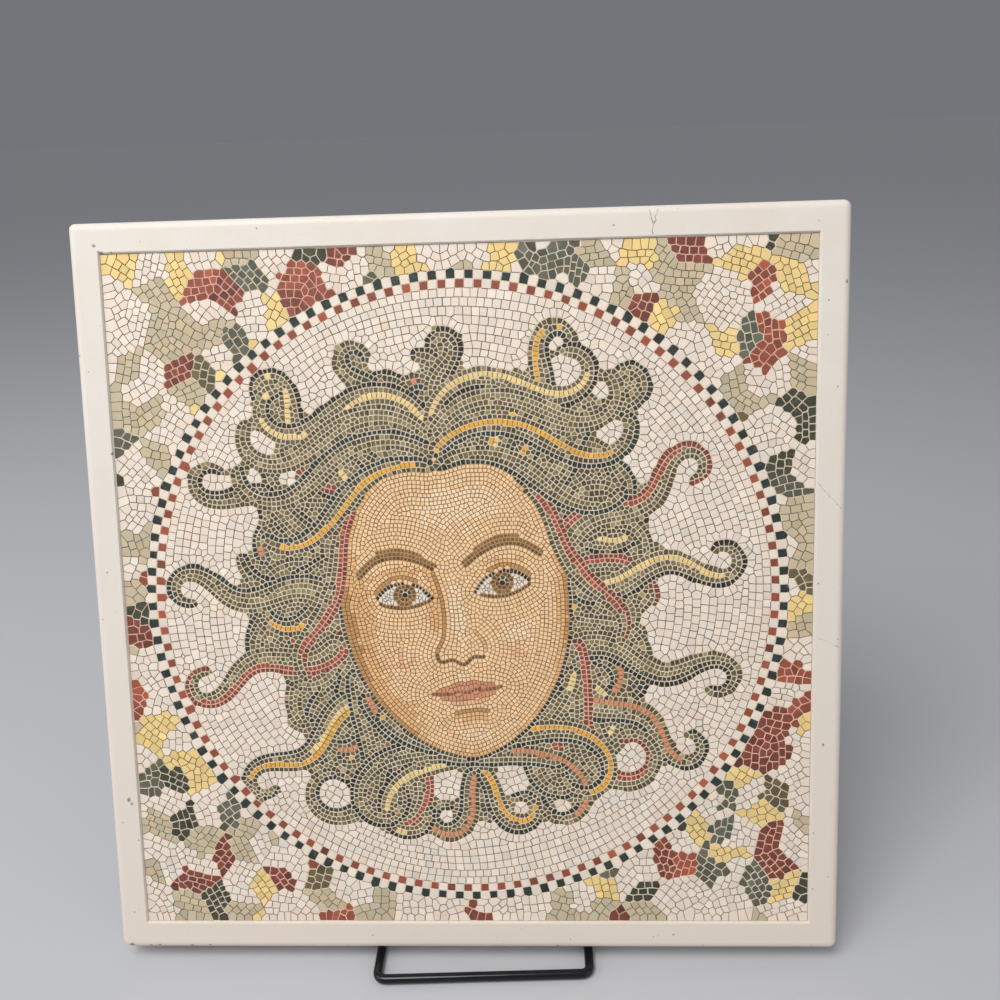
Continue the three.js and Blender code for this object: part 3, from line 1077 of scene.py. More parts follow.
@dataclass
class Cells:
    """The field shared out among its stones, with corners that neighbours have in common. Millimetres."""

    stones: Stones
    half: float
    near: float = 0.215
    reach: float = 8.0
    pull: float = 0.06
    edge_weight: float = 30.0
    edge_gap: float = 0.3
    dent: float = 0.08
    sliver: float = 0.02
    draws: int = 8

    def __post_init__(self) -> None:
        """Mirrors the stones near the field's edges, places the corners and shares the field out."""
        stones, half = self.stones, self.half
        self.count = len(stones.x)
        place = np.stack([stones.x, stones.y], 1)
        way = np.stack([stones.tx, stones.ty], 1)
        source = [np.arange(self.count)]
        places, ways, kinds = [place], [way], [np.zeros(self.count, int)]
        for code, (sx, sy) in enumerate(MIRRORS, 1):
            close = (half - sx * place[:, 0] < self.reach) if sx else np.ones(self.count, bool)
            close &= (half - sy * place[:, 1] < self.reach) if sy else True
            chosen = np.nonzero(close)[0]
            flip = np.array([-1 if sx else 1, -1 if sy else 1])
            source.append(chosen)
            places.append(place[chosen] * flip + 2 * half * np.array([sx, sy]))
            ways.append(way[chosen] * flip)
            kinds.append(np.full(len(chosen), code))
        self.place = np.concatenate(places)
        self.way = np.concatenate(ways)
        self.kind = np.concatenate(kinds)
        source = np.concatenate(source)
        self.pitch = np.array(stones.pitch)[source]
        self.length = np.array(stones.length)[source]
        self.course = np.array(stones.course)[source] * (len(MIRRORS) + 1) + self.kind
        self.triangles = self.triangulate()
        self.corner = self.place_corners()
        self.straighten()
        self.group = self.weld()
        self.polygons, self.neighbours = self.share_out()

    def triangulate(self) -> np.ndarray:
        """Triangles between neighbouring stones."""
        points = [Vector(map(float, p)) for p in self.place]
        _, _, faces, origins, _, _ = delaunay_2d_cdt(points, [], [], 0, 1e-7, True)
        first = [o[0] for o in origins]
        return np.array([[first[k] for k in face] for face in faces])

    def place_corners(self) -> np.ndarray:
        """Places one corner for each triangle.

        Returns:
            Where the lines between each triangle's three stones come closest to meeting.
        """
        tri = self.triangles
        spots, way = self.place[tri].mean(1), self.way
        system = np.zeros((len(tri), 2, 2))
        target = np.zeros((len(tri), 2))
        for a, b in ((0, 1), (1, 2), (2, 0)):
            i, j = tri[:, a], tri[:, b]
            apart = self.place[j] - self.place[i]
            dist = np.hypot(*apart.T)
            dot = (way[i] * way[j]).sum(1)
            mean = way[i] + np.where(dot < 0, -1, 1)[:, None] * way[j]
            mean /= np.hypot(*mean.T)[:, None]
            along = np.abs((apart * mean).sum(1)) * 2 / (self.length[i] + self.length[j])
            sideways = np.abs(apart[:, 1] * mean[:, 0] - apart[:, 0] * mean[:, 1])
            across = sideways * 2 / (self.pitch[i] + self.pitch[j])
            beside = (np.abs(dot) > 0.8) & (across > 0.8 * along) & (self.course[i] != self.course[j])
            normal = np.where(beside[:, None], np.stack([-mean[:, 1], mean[:, 0]], 1), apart / dist[:, None])
            share = (self.pitch[i] / (self.pitch[i] + self.pitch[j]))[:, None]
            level = (normal * (self.place[i] + apart * share)).sum(1)
            weight = np.where(self.kind[i] != self.kind[j], self.edge_weight, 1.0)
            system += weight[:, None, None] * normal[:, :, None] * normal[:, None, :]
            target += (weight * level)[:, None] * normal
        target += self.pull * spots
        corners = np.linalg.solve(system + self.pull * np.eye(2), target[:, :, None])[:, :, 0]
        self.pin = np.zeros((len(tri), 2), int)
        kinds = self.kind[tri]
        real = (kinds == 0).any(1)
        for code, (sx, sy) in enumerate(MIRRORS, 1):
            touches = (kinds == code).any(1) & real
            for axis, sign in ((0, sx), (1, sy)):
                if sign:
                    self.pin[touches, axis] = sign
        inside = self.half - self.edge_gap
        return np.where(self.pin != 0, self.pin * self.half, np.clip(corners, -inside, inside))

    def straighten(self) -> None:
        """Draws corners that dent a cell or turn it inside out back between their three stones."""
        tri = self.triangles
        middle = self.place[tri].mean(1)
        stone = tri.ravel()
        face = np.repeat(np.arange(len(tri)), 3)
        away = middle[face] - self.place[stone]
        order = np.lexsort((np.arctan2(away[:, 1], away[:, 0]), stone))
        stone, face = stone[order], face[order]
        first = np.searchsorted(stone, stone, "left")
        last = np.searchsorted(stone, stone, "right") - 1
        index = np.arange(len(stone))
        after = face[np.where(index == last, first, index + 1)]
        before = face[np.where(index == first, last, index - 1)]
        own = self.place[stone]
        for _ in range(self.draws):
            here, onward, back = self.corner[face], self.corner[after], self.corner[before]
            into, out = here - back, onward - here
            turn = into[:, 0] * out[:, 1] - into[:, 1] * out[:, 0]
            left, right = here - own, onward - own
            swept = left[:, 0] * right[:, 1] - left[:, 1] * right[:, 0]
            bad = np.zeros(len(tri), bool)
            bad[face[(turn < -self.dent) | (swept < self.sliver)]] = True
            bad[after[swept < self.sliver]] = True
            if not bad.any():
                break
            drawn = self.corner * 0.6 + middle * 0.4
            self.corner[bad] = np.where(self.pin != 0, self.pin * self.half, drawn)[bad]

    def weld(self) -> np.ndarray:
        """Joins corners nearer to each other than a share of their stones' pitch.

        Returns:
            For each triangle, the number of the one whose corner it shares.
        """
        tri = self.triangles
        owner: dict[tuple[int, int], int] = {}
        pairs = []
        for t, face in enumerate(tri.tolist()):
            for a, b in ((0, 1), (1, 2), (2, 0)):
                key = (min(face[a], face[b]), max(face[a], face[b]))
                if key in owner:
                    pairs.append((owner[key], t, float(self.pitch[key[0]] + self.pitch[key[1]]) / 2))
                else:
                    owner[key] = t
        root = list(range(len(tri)))

        def find(t: int) -> int:
            """Follows the joins.

            Args:
                t: a triangle.

            Returns:
                The triangle that stands for its group.
            """
            while root[t] != t:
                root[t] = root[root[t]]
                t = root[t]
            return t

        members = [set(face) for face in tri.tolist()]
        sides = np.bincount(tri.ravel(), minlength=len(self.place)).tolist()
        pin = self.pin
        for _ in range(2):
            gaps = sorted((float(np.hypot(*(self.corner[find(a)] - self.corner[find(b)]))) / pitch, a, b)
                          for a, b, pitch in pairs)
            for gap, a, b in gaps:
                if gap > self.near:
                    break
                a, b = find(a), find(b)
                both = members[a] & members[b]
                clash = any(pin[a][k] and pin[b][k] and pin[a][k] != pin[b][k] for k in (0, 1))
                if a == b or len(both) != 2 or clash or any(sides[k] <= 3 for k in both):
                    continue
                root[b] = a
                merged = (self.corner[a] + self.corner[b]) / 2
                pin[a] = np.where(pin[a] != 0, pin[a], pin[b])
                self.corner[a] = np.where(pin[a] != 0, pin[a] * self.half, merged)
                members[a] |= members[b]
                for k in both:
                    sides[k] -= 1
        return np.array([find(t) for t in range(len(tri))])

    def share_out(self) -> tuple[list[list[int]], list[list[int]]]:
        """Finds each stone's outline.

        Returns:
            The corners round each stone, anticlockwise, and the stone beyond the edge that starts at each.
        """
        tri = self.triangles
        round_stone: list[list[tuple[float, int]]] = [[] for _ in range(self.count)]
        middle = self.place[tri].mean(1)
        for t, face in enumerate(tri.tolist()):
            for k in face:
                if k < self.count:
                    dx, dy = middle[t] - self.place[k]
                    round_stone[k].append((math.atan2(dy, dx), t))
        polygons, neighbours = [], []
        for k, fan in enumerate(round_stone):
            fan.sort()
            order = [t for _, t in fan]
            corners, beyond = [], []
            for here, onward in zip(order, order[1:] + order[:1]):
                if self.group[here] == self.group[onward]:
                    continue
                shared = (set(tri[here].tolist()) & set(tri[onward].tolist())) - {k}
                corners.append(int(self.group[here]))
                beyond.append(shared.pop())
            polygons.append(corners)
            neighbours.append(beyond)
        return polygons, neighbours


@dataclass(frozen=True)
class PanelPlace:
    """Where the panel's own axes lie in the frame: across, up its face and out of its front."""

    origin: Vector
    up: Vector
    out: Vector

    @classmethod
    def of_node(cls, node: str, lean: float) -> "PanelPlace":
        """Finds the panel's axes from its CAD node and its lean.

        Args:
            node: the CAD node's name.
            lean: how far the panel leans back, in radians.

        Returns:
            The panel's place, with its origin in the middle of its back.
        """
        points = np.array([v.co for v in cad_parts[node].data.vertices])
        up = Vector((0, math.sin(lean), math.cos(lean)))
        out = Vector((0, -math.cos(lean), math.sin(lean)))
        heights, depths = points @ np.array(up), points @ np.array(out)
        x = (points[:, 0].min() + points[:, 0].max()) / 2
        origin = Vector((x, 0, 0)) + up * (heights.min() + heights.max()) / 2 + out * depths.min()
        return cls(origin, up, out)

    def world(self, plan: np.ndarray) -> np.ndarray:
        """Places given across, up and out in millimetres, in the frame in metres."""
        basis = np.array([(1, 0, 0), tuple(self.up), tuple(self.out)])
        return plan * MM @ basis + np.array(self.origin)


class Part(Enum):
    """The panel's surfaces, in the order of its material slots."""

    STONES = 0
    PLASTER = 1
    BACK = 2


@dataclass
class Shell:
    """Faces and places of the panel's mesh while it grows."""

    plan: list[Triple] = field(default_factory=list)
    faces: list[tuple[int, ...]] = field(default_factory=list)
    colours: list[Colour] = field(default_factory=list)
    parts: list[int] = field(default_factory=list)
    smooth: list[bool] = field(default_factory=list)

    def point(self, x: float, y: float, w: float) -> int:
        """Adds a place and gives its number."""
        self.plan.append((x, y, w))
        return len(self.plan) - 1

    def face(self, corners: Iterable[int], colour: tuple[float, ...], part: Part,
             smooth: bool = False) -> None:
        """Adds a face.

        Args:
            corners: the numbers of its places, anticlockwise from outside.
            colour: its sRGB colour, with nothing in its last place to mark a joint.
            part: the surface that it belongs to.
            smooth: whether its shading is smooth.
        """
        self.faces.append(tuple(corners))
        self.colours.append(tuple(colour))
        self.parts.append(part.value)
        self.smooth.append(smooth)


@dataclass
class MosaicPanel:
    """The cast panel: its slab, rim and field of stones. Millimetres."""

    seed: int = 5
    half: float = 148.5
    thick: float = 13.0
    rim: float = 12.0
    lean: float = math.radians(17)
    front_round: float = 3.0
    round_steps: int = 6
    corner_radii: tuple[float, ...] = (3.5, 3.0, 3.0, 2.4)
    least_radius: float = 0.35
    corner_steps: int = 5
    spacing: float = 6.0
    rim_foot: tuple[Pair, ...] = (
        (11.5, 12.88), (11.4, 12.975), (11.25, 13.0), (11.1, 13.0), (7.5, 13.0), (3.3, 13.0))
    back_edge: tuple[Pair, ...] = ((0.0, 5.5), (0.0, 1.6), (0.05, 0.75), (0.25, 0.0))
    stone_top: float = 12.1
    joint_floor: float = 11.86
    stone_tilt: float = math.radians(0.6)
    light_inset: float = 0.155
    dark_inset: float = 0.20
    ground_joint: Triple = (0.43, 0.375, 0.285)
    skin_joint: Triple = (0.50, 0.33, 0.20)
    toned_joint: Triple = (0.37, 0.33, 0.22)
    dark_joint: Triple = (0.90, 0.85, 0.765)
    face_joint: Triple = (0.76, 0.62, 0.45)
    red_joint: Triple = (0.92, 0.76, 0.68)

    def build(self) -> Object:
        """Lays the mosaic, makes the panel's mesh and dresses it.

        Returns:
            The panel.
        """
        stones = Picture().compose()
        cells = Cells(stones, FIELD.half)
        shell = Shell()
        chain = self.lay_field(shell, stones, cells)
        self.add_slab(shell, chain)
        panel = self.mesh(shell)
        panel.data.materials.append(StoneFinish().material())
        panel.data.materials.append(PlasterFinish().material())
        panel.data.materials.append(BackFinish().material())
        triangles = sum(len(f) - 2 for f in shell.faces)
        log.info("mosaic panel: %d stones, %d faces, %d triangles",
                 len(stones.x), len(shell.faces), triangles)
        return panel

    def lay_field(self, shell: Shell, stones: Stones, cells: Cells) -> list[int]:
        """Adds every stone with its joints.

        Args:
            shell: the mesh to add to.
            stones: the stones as they were laid.
            cells: the field shared out among them.

        Returns:
            Numbers of the places along the field's edge, anticlockwise.
        """
        dice = random.Random(self.seed)
        spot: dict[int, int] = {}
        onward: dict[int, int] = {}
        strength: dict[tuple[int, int], float] = {}
        for k in range(cells.count):
            corners = cells.polygons[k]
            for g in corners:
                if g not in spot:
                    spot[g] = shell.point(*cells.corner[g], self.joint_floor)
            ring = cells.corner[corners]
            turned = np.roll(ring, -1, 0)
            cross = ring[:, 0] * turned[:, 1] - ring[:, 1] * turned[:, 0]
            area = cross.sum() / 2
            middle = ((ring + turned) * cross[:, None]).sum(0) / (6 * area)
            round_way = np.hypot(*(turned - ring).T).sum()
            dark = stones.tone[k] not in LIGHT_TONES
            inset = self.dark_inset if dark else self.light_inset
            shrink = max(0.45, 1 - inset * dice.uniform(0.8, 1.25) * round_way / (2 * area))
            tilt_x = math.tan(dice.uniform(-1, 1) * self.stone_tilt)
            tilt_y = math.tan(dice.uniform(-1, 1) * self.stone_tilt)
            height = self.stone_top + dice.uniform(-0.05, 0.0)
            top = []
            for x, y in ring:
                dx, dy = (x - middle[0]) * shrink, (y - middle[1]) * shrink
                top.append(shell.point(middle[0] + dx, middle[1] + dy, height + dx * tilt_x + dy * tilt_y))
            tinted = stones.tone[k] in TINTED
            value = 1 + dice.gauss(0, 0.085 if dark else 0.026 if tinted else 0.018)
            warm = dice.gauss(0, 0.02 if dark else 0.013 if tinted else 0.006)
            r, g, b = stones.tone[k].value
            shell.face(top, (r * value * (1 + warm), g * value, b * value * (1 - warm), 1.0), Part.STONES)
            count = len(corners)
            for n in range(count):
                here, after = corners[n], corners[(n + 1) % count]
                beyond = cells.neighbours[k][n]
                key = (min(k, beyond), max(k, beyond))
                if key not in strength:
                    strength[key] = dice.betavariate(6.0, 1.6)
                outside = cells.kind[beyond] != 0
                across = stones.tone[k] if outside else stones.tone[beyond]
                tone = self.joint_colour(stones.tone[k], across, strength[key])
                shell.face((spot[here], spot[after], top[(n + 1) % count], top[n]), tone, Part.STONES)
                if outside:
                    onward[spot[here]] = spot[after]
        start = min(onward, key=lambda p: shell.plan[p][0] + shell.plan[p][1])
        chain = [start]
        while onward[chain[-1]] != start:
            chain.append(onward[chain[-1]])
        return chain

    def joint_colour(self, tone: Tone, across: Tone, strength: float) -> Colour:
        """Colour of a joint: pale beside dark stones, and a darker line between light ones.

        Args:
            tone: the stone's colour.
            across: colour of the stone beyond the joint.
            strength: how much of the joint's own colour it shows between light stones.

        Returns:
            The colour as sRGB, with nothing in its last place to mark a joint.
        """
        if tone not in LIGHT_TONES or across not in LIGHT_TONES:
            if tone in FACE_TONES or across in FACE_TONES:
                joint = self.face_joint
            elif tone in RED_TONES and across in RED_TONES:
                joint = self.red_joint
            else:
                joint = self.dark_joint
            share = 0.1
        else:
            joint = self.ground_joint
            if tone in FACE_TONES:
                joint = self.skin_joint
            elif tone in TINTED:
                joint = self.toned_joint
            share = 1 - strength
        return (*(j + (s - j) * share for s, j in zip(tone.value, joint)), 0.0)

    def loop(self, shell: Shell, inward: float, w: float) -> list[int]:
        """Adds a rounded square round the panel, anticlockwise from its lower left corner.

        Args:
            shell: the mesh to add to.
            inward: distance in from the panel's outline.
            w: height over the panel's back.

        Returns:
            The numbers of its places.
        """
        reach = self.half - inward
        radii = [max(radius - inward, self.least_radius) for radius in self.corner_radii]
        run = int(round(2 * self.half / self.spacing))
        points = []
        for side in range(4):
            turn = side * math.pi / 2
            c, s = math.cos(turn), math.sin(turn)
            radius = radii[side]
            for k in range(self.corner_steps):
                a = math.pi + math.pi / 2 * (k + 0.5) / self.corner_steps
                x, y = -reach + radius + radius * math.cos(a), -reach + radius + radius * math.sin(a)
                points.append((x, y, c, s))
            first, last = -reach + radius, reach - radii[(side + 1) % 4]
            for k in range(run + 1):
                points.append((first + (last - first) * k / run, -reach, c, s))
        return [shell.point(x * c - y * s, x * s + y * c, w) for x, y, c, s in points]

    def add_slab(self, shell: Shell, chain: list[int]) -> None:
        """Adds the field's wall, the rim, the sides and the back.

        Args:
            shell: the mesh to add to.
            chain: numbers of the places along the field's edge.
        """
        r, top = self.front_round, self.thick
        profile = list(self.rim_foot)
        for k in range(self.round_steps, -1, -1):
            a = math.pi / 2 * k / self.round_steps
            profile.append((r * (1 - math.cos(a)), top - r + r * math.sin(a)))
        profile += self.back_edge
        loops = [self.loop(shell, *step) for step in profile]
        self.zip_edge(shell, chain, loops[0])
        plain = (0.9, 0.86, 0.81, 1.0)
        for inner, outer in zip(loops, loops[1:]):
            count = len(inner)
            for k in range(count):
                n = (k + 1) % count
                shell.face((outer[k], outer[n], inner[n], inner[k]), plain, Part.PLASTER, True)
        shell.face(reversed(loops[-1]), plain, Part.BACK)

    def zip_edge(self, shell: Shell, inner: list[int], outer: list[int]) -> None:
        """Closes the band between the field's edge and the foot of the rim with triangles.

        Args:
            shell: the mesh to add to.
            inner: numbers of the places along the field's edge.
            outer: numbers of the places round the foot of the rim.
        """
        def way_round(p: int) -> float:
            """Measures how far round the square a place is.

            Args:
                p: the place's number.

            Returns:
                The way from the square's lower left corner, with two to a side.
            """
            x, y, _ = shell.plan[p]
            scale = max(abs(x), abs(y))
            x, y = x / scale, y / scale
            if y <= -1 + 1e-9 and x < 1 - 1e-9:
                return x + 1
            if x >= 1 - 1e-9 and y < 1 - 1e-9:
                return 3 + y
            if y >= 1 - 1e-9 and x > -1 + 1e-9:
                return 5 - x
            return 7 - y

        def from_corner(ring: list[int]) -> tuple[list[int], list[float]]:
            """Starts a ring from the place nearest its lower left corner, and closes it.

            Args:
                ring: numbers of its places.

            Returns:
                The numbers in their new order, and each one's way round.
            """
            ways = [way_round(p) % 8 for p in ring]
            first = int(np.argmin(ways))
            ring = ring[first:] + ring[:first]
            ways = ways[first:] + ways[:first]
            return ring + ring[:1], ways + [ways[0] + 8]

        inner, inner_ways = from_corner(inner)
        outer, outer_ways = from_corner(outer)
        plain = (*self.dark_joint, 1.0)
        i = j = 0
        while i < len(inner) - 1 or j < len(outer) - 1:
            if j == len(outer) - 1 or (i < len(inner) - 1 and inner_ways[i + 1] < outer_ways[j + 1]):
                shell.face((inner[i], outer[j], inner[i + 1]), plain, Part.PLASTER)
                i += 1
            else:
                shell.face((inner[i], outer[j], outer[j + 1]), plain, Part.PLASTER)
                j += 1

    def mesh(self, shell: Shell) -> Object:
        """Turns the shell into an object with its colours, its plan and its map.

        Args:
            shell: the finished faces and places.

        Returns:
            The panel, without its materials.
        """
        place = PanelPlace.of_node("mosaic_panel", self.lean)
        plan = np.array(shell.plan)
        data = bpy.data.meshes.new("mosaic_panel_dressed")
        data.from_pydata(place.world(plan).tolist(), [], shell.faces)
        data.polygons.foreach_set("material_index", shell.parts)
        data.polygons.foreach_set("use_smooth", shell.smooth)
        sizes = np.array([len(f) for f in shell.faces])
        colour = data.attributes.new("stone colour", "FLOAT_COLOR", "CORNER")
        rgba = np.array(shell.colours)
        rgba[:, :3] = self.linear(np.clip(rgba[:, :3], 0, 1))
        colour.data.foreach_set("color", np.repeat(rgba, sizes, 0).astype(np.float32).ravel())
        spot = data.attributes.new("plan", "FLOAT_VECTOR", "POINT")
        spot.data.foreach_set("vector", plan.astype(np.float32).ravel())
        self.map_for_baking(data, plan)
        data.validate()
        data.update()
        panel = bpy.data.objects.new("mosaic_panel_dressed", data)
        bpy.context.collection.objects.link(panel)
        return panel

    @staticmethod
    def linear(srgb: np.ndarray) -> np.ndarray:
        """Linear values of sRGB colours."""
        return np.where(srgb <= 0.04045, srgb / 12.92, ((srgb + 0.055) / 1.055) ** 2.4)

    def map_for_baking(self, data: Mesh, plan: np.ndarray) -> None:
        """Gives the front most of the map's square, and lays the sides and the back along its edges.

        Args:
            data: the panel's mesh.
            plan: the place of each point across, up and out.
        """
        def read(items: bpy.types.bpy_prop_collection, name: str, kind: type,
                 width: int = 1) -> np.ndarray:
            """One property of every item.

            Args:
                items: the mesh's corners or faces.
                name: the property.
                kind: the type of its values.
                width: how many values each item has.

            Returns:
                The values, one after the other.
            """
            values = np.zeros(len(items) * width, kind)
            items.foreach_get(name, values)
            return values

        margin, front, strips, strip, corner, back = 0.005, 0.86, (0.875, 0.935), 0.05, 0.885, 0.105
        uv = data.uv_layers.new(name="OFBake")
        totals = read(data.polygons, "loop_total", int)
        parts = np.repeat(read(data.polygons, "material_index", int), totals)
        normals = np.repeat(read(data.polygons, "normal", float, 3).reshape(-1, 3), totals, 0)
        place = PanelPlace.of_node("mosaic_panel", self.lean)
        across, upward, facing = normals[:, 0], normals @ np.array(place.up), normals @ np.array(place.out)
        here = plan[read(data.loops, "vertex_index", int)]
        share = (here[:, :2] / self.half + 1) / 2
        on_back = (parts == Part.BACK.value)[:, None]
        uv_place = np.where(on_back, corner + share * back, margin + share * front)
        side = (parts == Part.PLASTER.value) & (facing < 0.35)
        tall = np.abs(across) > np.abs(upward)
        for axis, chosen, way in ((0, side & tall, across), (1, side & ~tall, upward)):
            strip_place = np.where(way > 0, *strips) + here[:, 2] / self.thick * strip
            uv_place[chosen, axis] = strip_place[chosen]
            uv_place[chosen, 1 - axis] = (margin + share * front)[chosen, 1 - axis]
        uv.data.foreach_set("uv", uv_place.astype(np.float32).ravel())


# Materials

class Graph:
    """Adds nodes to a tree in columns, and joins them."""

    def __init__(self, tree: NodeTree) -> None:
        """Starts at a tree's first column."""
        self.tree = tree
        self.column = 0

    def add(self, kind: str, **settings: object) -> Node:
        """Adds a node.

        Args:
            kind: the node's type.
            settings: its properties.

        Returns:
            The node.
        """
        node = self.tree.nodes.new(kind)
        self.column += 1
        node.location = (self.column % 8 * 190 - 900, 600 - self.column // 8 * 260)
        for name, value in settings.items():
            setattr(node, name, value)
        return node

    def feed(self, node: Node, inputs: dict[str | int, object]) -> Node:
        """Links or sets some of a node's inputs.

        Args:
            node: the node.
            inputs: a socket to link or a value to set, by the input's name or number.

        Returns:
            The node.
        """
        for key, given in inputs.items():
            if isinstance(given, NodeSocket):
                self.tree.links.new(given, node.inputs[key])
            else:
                node.inputs[key].default_value = given
        return node

    def value(self, operation: str, *inputs: object) -> NodeSocket:
        """Output of a Math node, from its operation and its inputs in order."""
        node = self.add("ShaderNodeMath", operation=operation)
        return self.feed(node, dict(enumerate(inputs))).outputs[0]

    def vector(self, operation: str, *inputs: object) -> NodeSocket:
        """Output of a Vector Math node, from its operation and its inputs in order."""
        node = self.feed(self.add("ShaderNodeVectorMath", operation=operation), dict(enumerate(inputs)))
        return node.outputs["Value" if operation in ("DISTANCE", "DOT_PRODUCT") else "Vector"]

    def scaled(self, vector: object, scale: object) -> NodeSocket:
        """A vector or a colour times a value."""
        node = self.add("ShaderNodeVectorMath", operation="SCALE")
        return self.feed(node, {0: vector, "Scale": scale}).outputs[0]

    def mix(self, share: object, one: object, two: object) -> NodeSocket:
        """The first colour with a share of the second."""
        node = self.add("ShaderNodeMix", data_type="RGBA")
        return self.feed(node, {0: share, 6: one, 7: two}).outputs[2]

    def spread(self, value: object, low: float, high: float, to_low: float, to_high: float) -> NodeSocket:
        """A value spread over another range, and held at both ends."""
        node = self.add("ShaderNodeMapRange")
        return self.feed(node, dict(enumerate((value, low, high, to_low, to_high)))).outputs[0]

    def noise(self, place: object, scale: object, detail: float = 3, rough: float = 0.55) -> NodeSocket:
        """A cloudy value at a place."""
        inputs = {"Vector": place, "Scale": scale, "Detail": detail, "Roughness": rough}
        return self.feed(self.add("ShaderNodeTexNoise"), inputs).outputs["Fac"]

    def place(self, group: NodeTree, **inputs: object) -> NodeSocket:
        """Output of a group, from its inputs."""
        return self.feed(self.add("ShaderNodeGroup", node_tree=group), inputs).outputs[0]

    def plan(self) -> NodeSocket:
        """The place on the panel across, up and out, in millimetres."""
        return self.add("ShaderNodeAttribute", attribute_name="plan").outputs["Vector"]

    def bump(self, shader: Node, strength: float, depth: float, height: object) -> None:
        """Gives a shader a fine relief.

        Args:
            shader: the shader's node.
            strength: how much of the relief shows.
            depth: how deep it is, in metres.
            height: the relief itself.
        """
        inputs = {"Strength": strength, "Distance": depth, "Height": height}
        self.feed(shader, {"Normal": self.feed(self.add("ShaderNodeBump"), inputs).outputs[0]})


def new_group(name: str, vectors: Iterable[str], numbers: Iterable[str],
              output: str) -> tuple[Graph, bpy.types.NodeOutputs, Node]:
    """Starts a shader node group.

    Args:
        name: the group's name.
        vectors: names of the inputs that are vectors.
        numbers: names of the inputs that are numbers.
        output: name of its output, a number.

    Returns:
        The group's graph, what comes in, and the node that its output goes to.
    """
    tree = bpy.data.node_groups.new(name, "ShaderNodeTree")
    kinds = {**dict.fromkeys(vectors, "NodeSocketVector"), **dict.fromkeys(numbers, "NodeSocketFloat")}
    for socket, kind in kinds.items():
        tree.interface.new_socket(socket, in_out="INPUT", socket_type=kind)
    tree.interface.new_socket(output, in_out="OUTPUT", socket_type="NodeSocketFloat")
    graph = Graph(tree)
    return graph, graph.add("NodeGroupInput").outputs, graph.add("NodeGroupOutput")


class Effects:
    """Shader groups that several finishes share, each built once."""

    @staticmethod
    @cache
    def specks() -> NodeTree:
        """Builds scattered fine specks.

        Returns:
            The group, with a mask as its output.
        """
        g, into, out = new_group("scattered specks", ("Place",), ("Scale", "Amount"), "Mask")
        grains = g.feed(g.add("ShaderNodeTexVoronoi"), {"Vector": into["Place"], "Scale": into["Scale"]})
        chance = g.feed(g.add("ShaderNodeSeparateColor"), {0: grains.outputs["Color"]})
        chosen = g.value("LESS_THAN", chance.outputs[0], into["Amount"])
        size = g.value("MULTIPLY_ADD", chance.outputs[1], 0.16, 0.06)
        close = g.value("LESS_THAN", grains.outputs["Distance"], size)
        g.feed(out, {0: g.value("MULTIPLY", chosen, close)})
        return g.tree

    @staticmethod
    @cache
    def chip() -> NodeTree:
        """Builds one ragged chip or pit round a place.

        Returns:
            The group, with a mask as its output.
        """
        g, into, out = new_group("ragged chip", ("Place", "Middle"), ("Size",), "Mask")
        ragged = g.value("MULTIPLY_ADD", g.noise(into["Place"], 1.3, 4, 0.6), 1.6, 0.2)
        reach = g.value("MULTIPLY", g.vector("DISTANCE", into["Place"], into["Middle"]), ragged)
        reach = g.value("DIVIDE", reach, into["Size"])
        g.feed(out, {0: g.spread(reach, 0.75, 1.05, 1.0, 0.0)})
        return g.tree

    @staticmethod
    @cache
    def hairline() -> NodeTree:
        """Builds a fine wandering crack from one place along a way.

        Returns:
            The group, with a mask as its output.
        """
        g, into, out = new_group("fine hairline", ("Place", "From", "Along"), ("Width",), "Mask")
        wander = g.feed(g.add("ShaderNodeTexNoise"), {"Vector": into["Place"], "Scale": 0.55})
        shift = g.vector("SUBTRACT", wander.outputs["Color"], (0.5, 0.5, 0.5))
        moved = g.vector("MULTIPLY_ADD", shift, (2.2, 2.2, 0.0), into["Place"])
        local = g.vector("SUBTRACT", moved, into["From"])
        along = into["Along"]
        share = g.value("DIVIDE", *(g.vector("DOT_PRODUCT", one, along) for one in (local, along)))
        held = g.feed(g.add("ShaderNodeClamp"), {0: share}).outputs[0]
        apart = g.vector("DISTANCE", local, g.scaled(along, held))
        reach = g.value("DIVIDE", apart, into["Width"])
        g.feed(out, {0: g.spread(reach, 0.5, 1.0, 1.0, 0.0)})
        return g.tree

    @staticmethod
    @cache
    def mottle() -> NodeTree:
        """Builds two sizes of soft cloud.

        Returns:
            The group, with a value round one as its output.
        """
        g, into, out = new_group("soft mottling", ("Place",), ("Fine", "Broad", "Amount"), "Value")
        both = g.value("ADD", *(g.noise(into["Place"], into[size], 4, 0.5) for size in ("Fine", "Broad")))
        around = g.value("SUBTRACT", both, 1.0)
        g.feed(out, {0: g.value("MULTIPLY_ADD", around, into["Amount"], 1.0)})
        return g.tree


def start_material(name: str) -> tuple[Material, Graph, Node]:
    """Starts a material.

    Args:
        name: the material's name.

    Returns:
        The material, its graph and its shader.
    """
    material = bpy.data.materials.new(name)
    material.use_nodes = True
    return material, Graph(material.node_tree), material.node_tree.nodes["Principled BSDF"]


@dataclass(frozen=True)
class Chip:
    """A chip or pit at a place on the panel. Millimetres."""

    x: float
    y: float
    size: float


@dataclass(frozen=True)
class Hairline:
    """A fine crack from one place on the panel to another. Millimetres."""

    x: float
    y: float
    to_x: float
    to_y: float
    width: float = 0.22


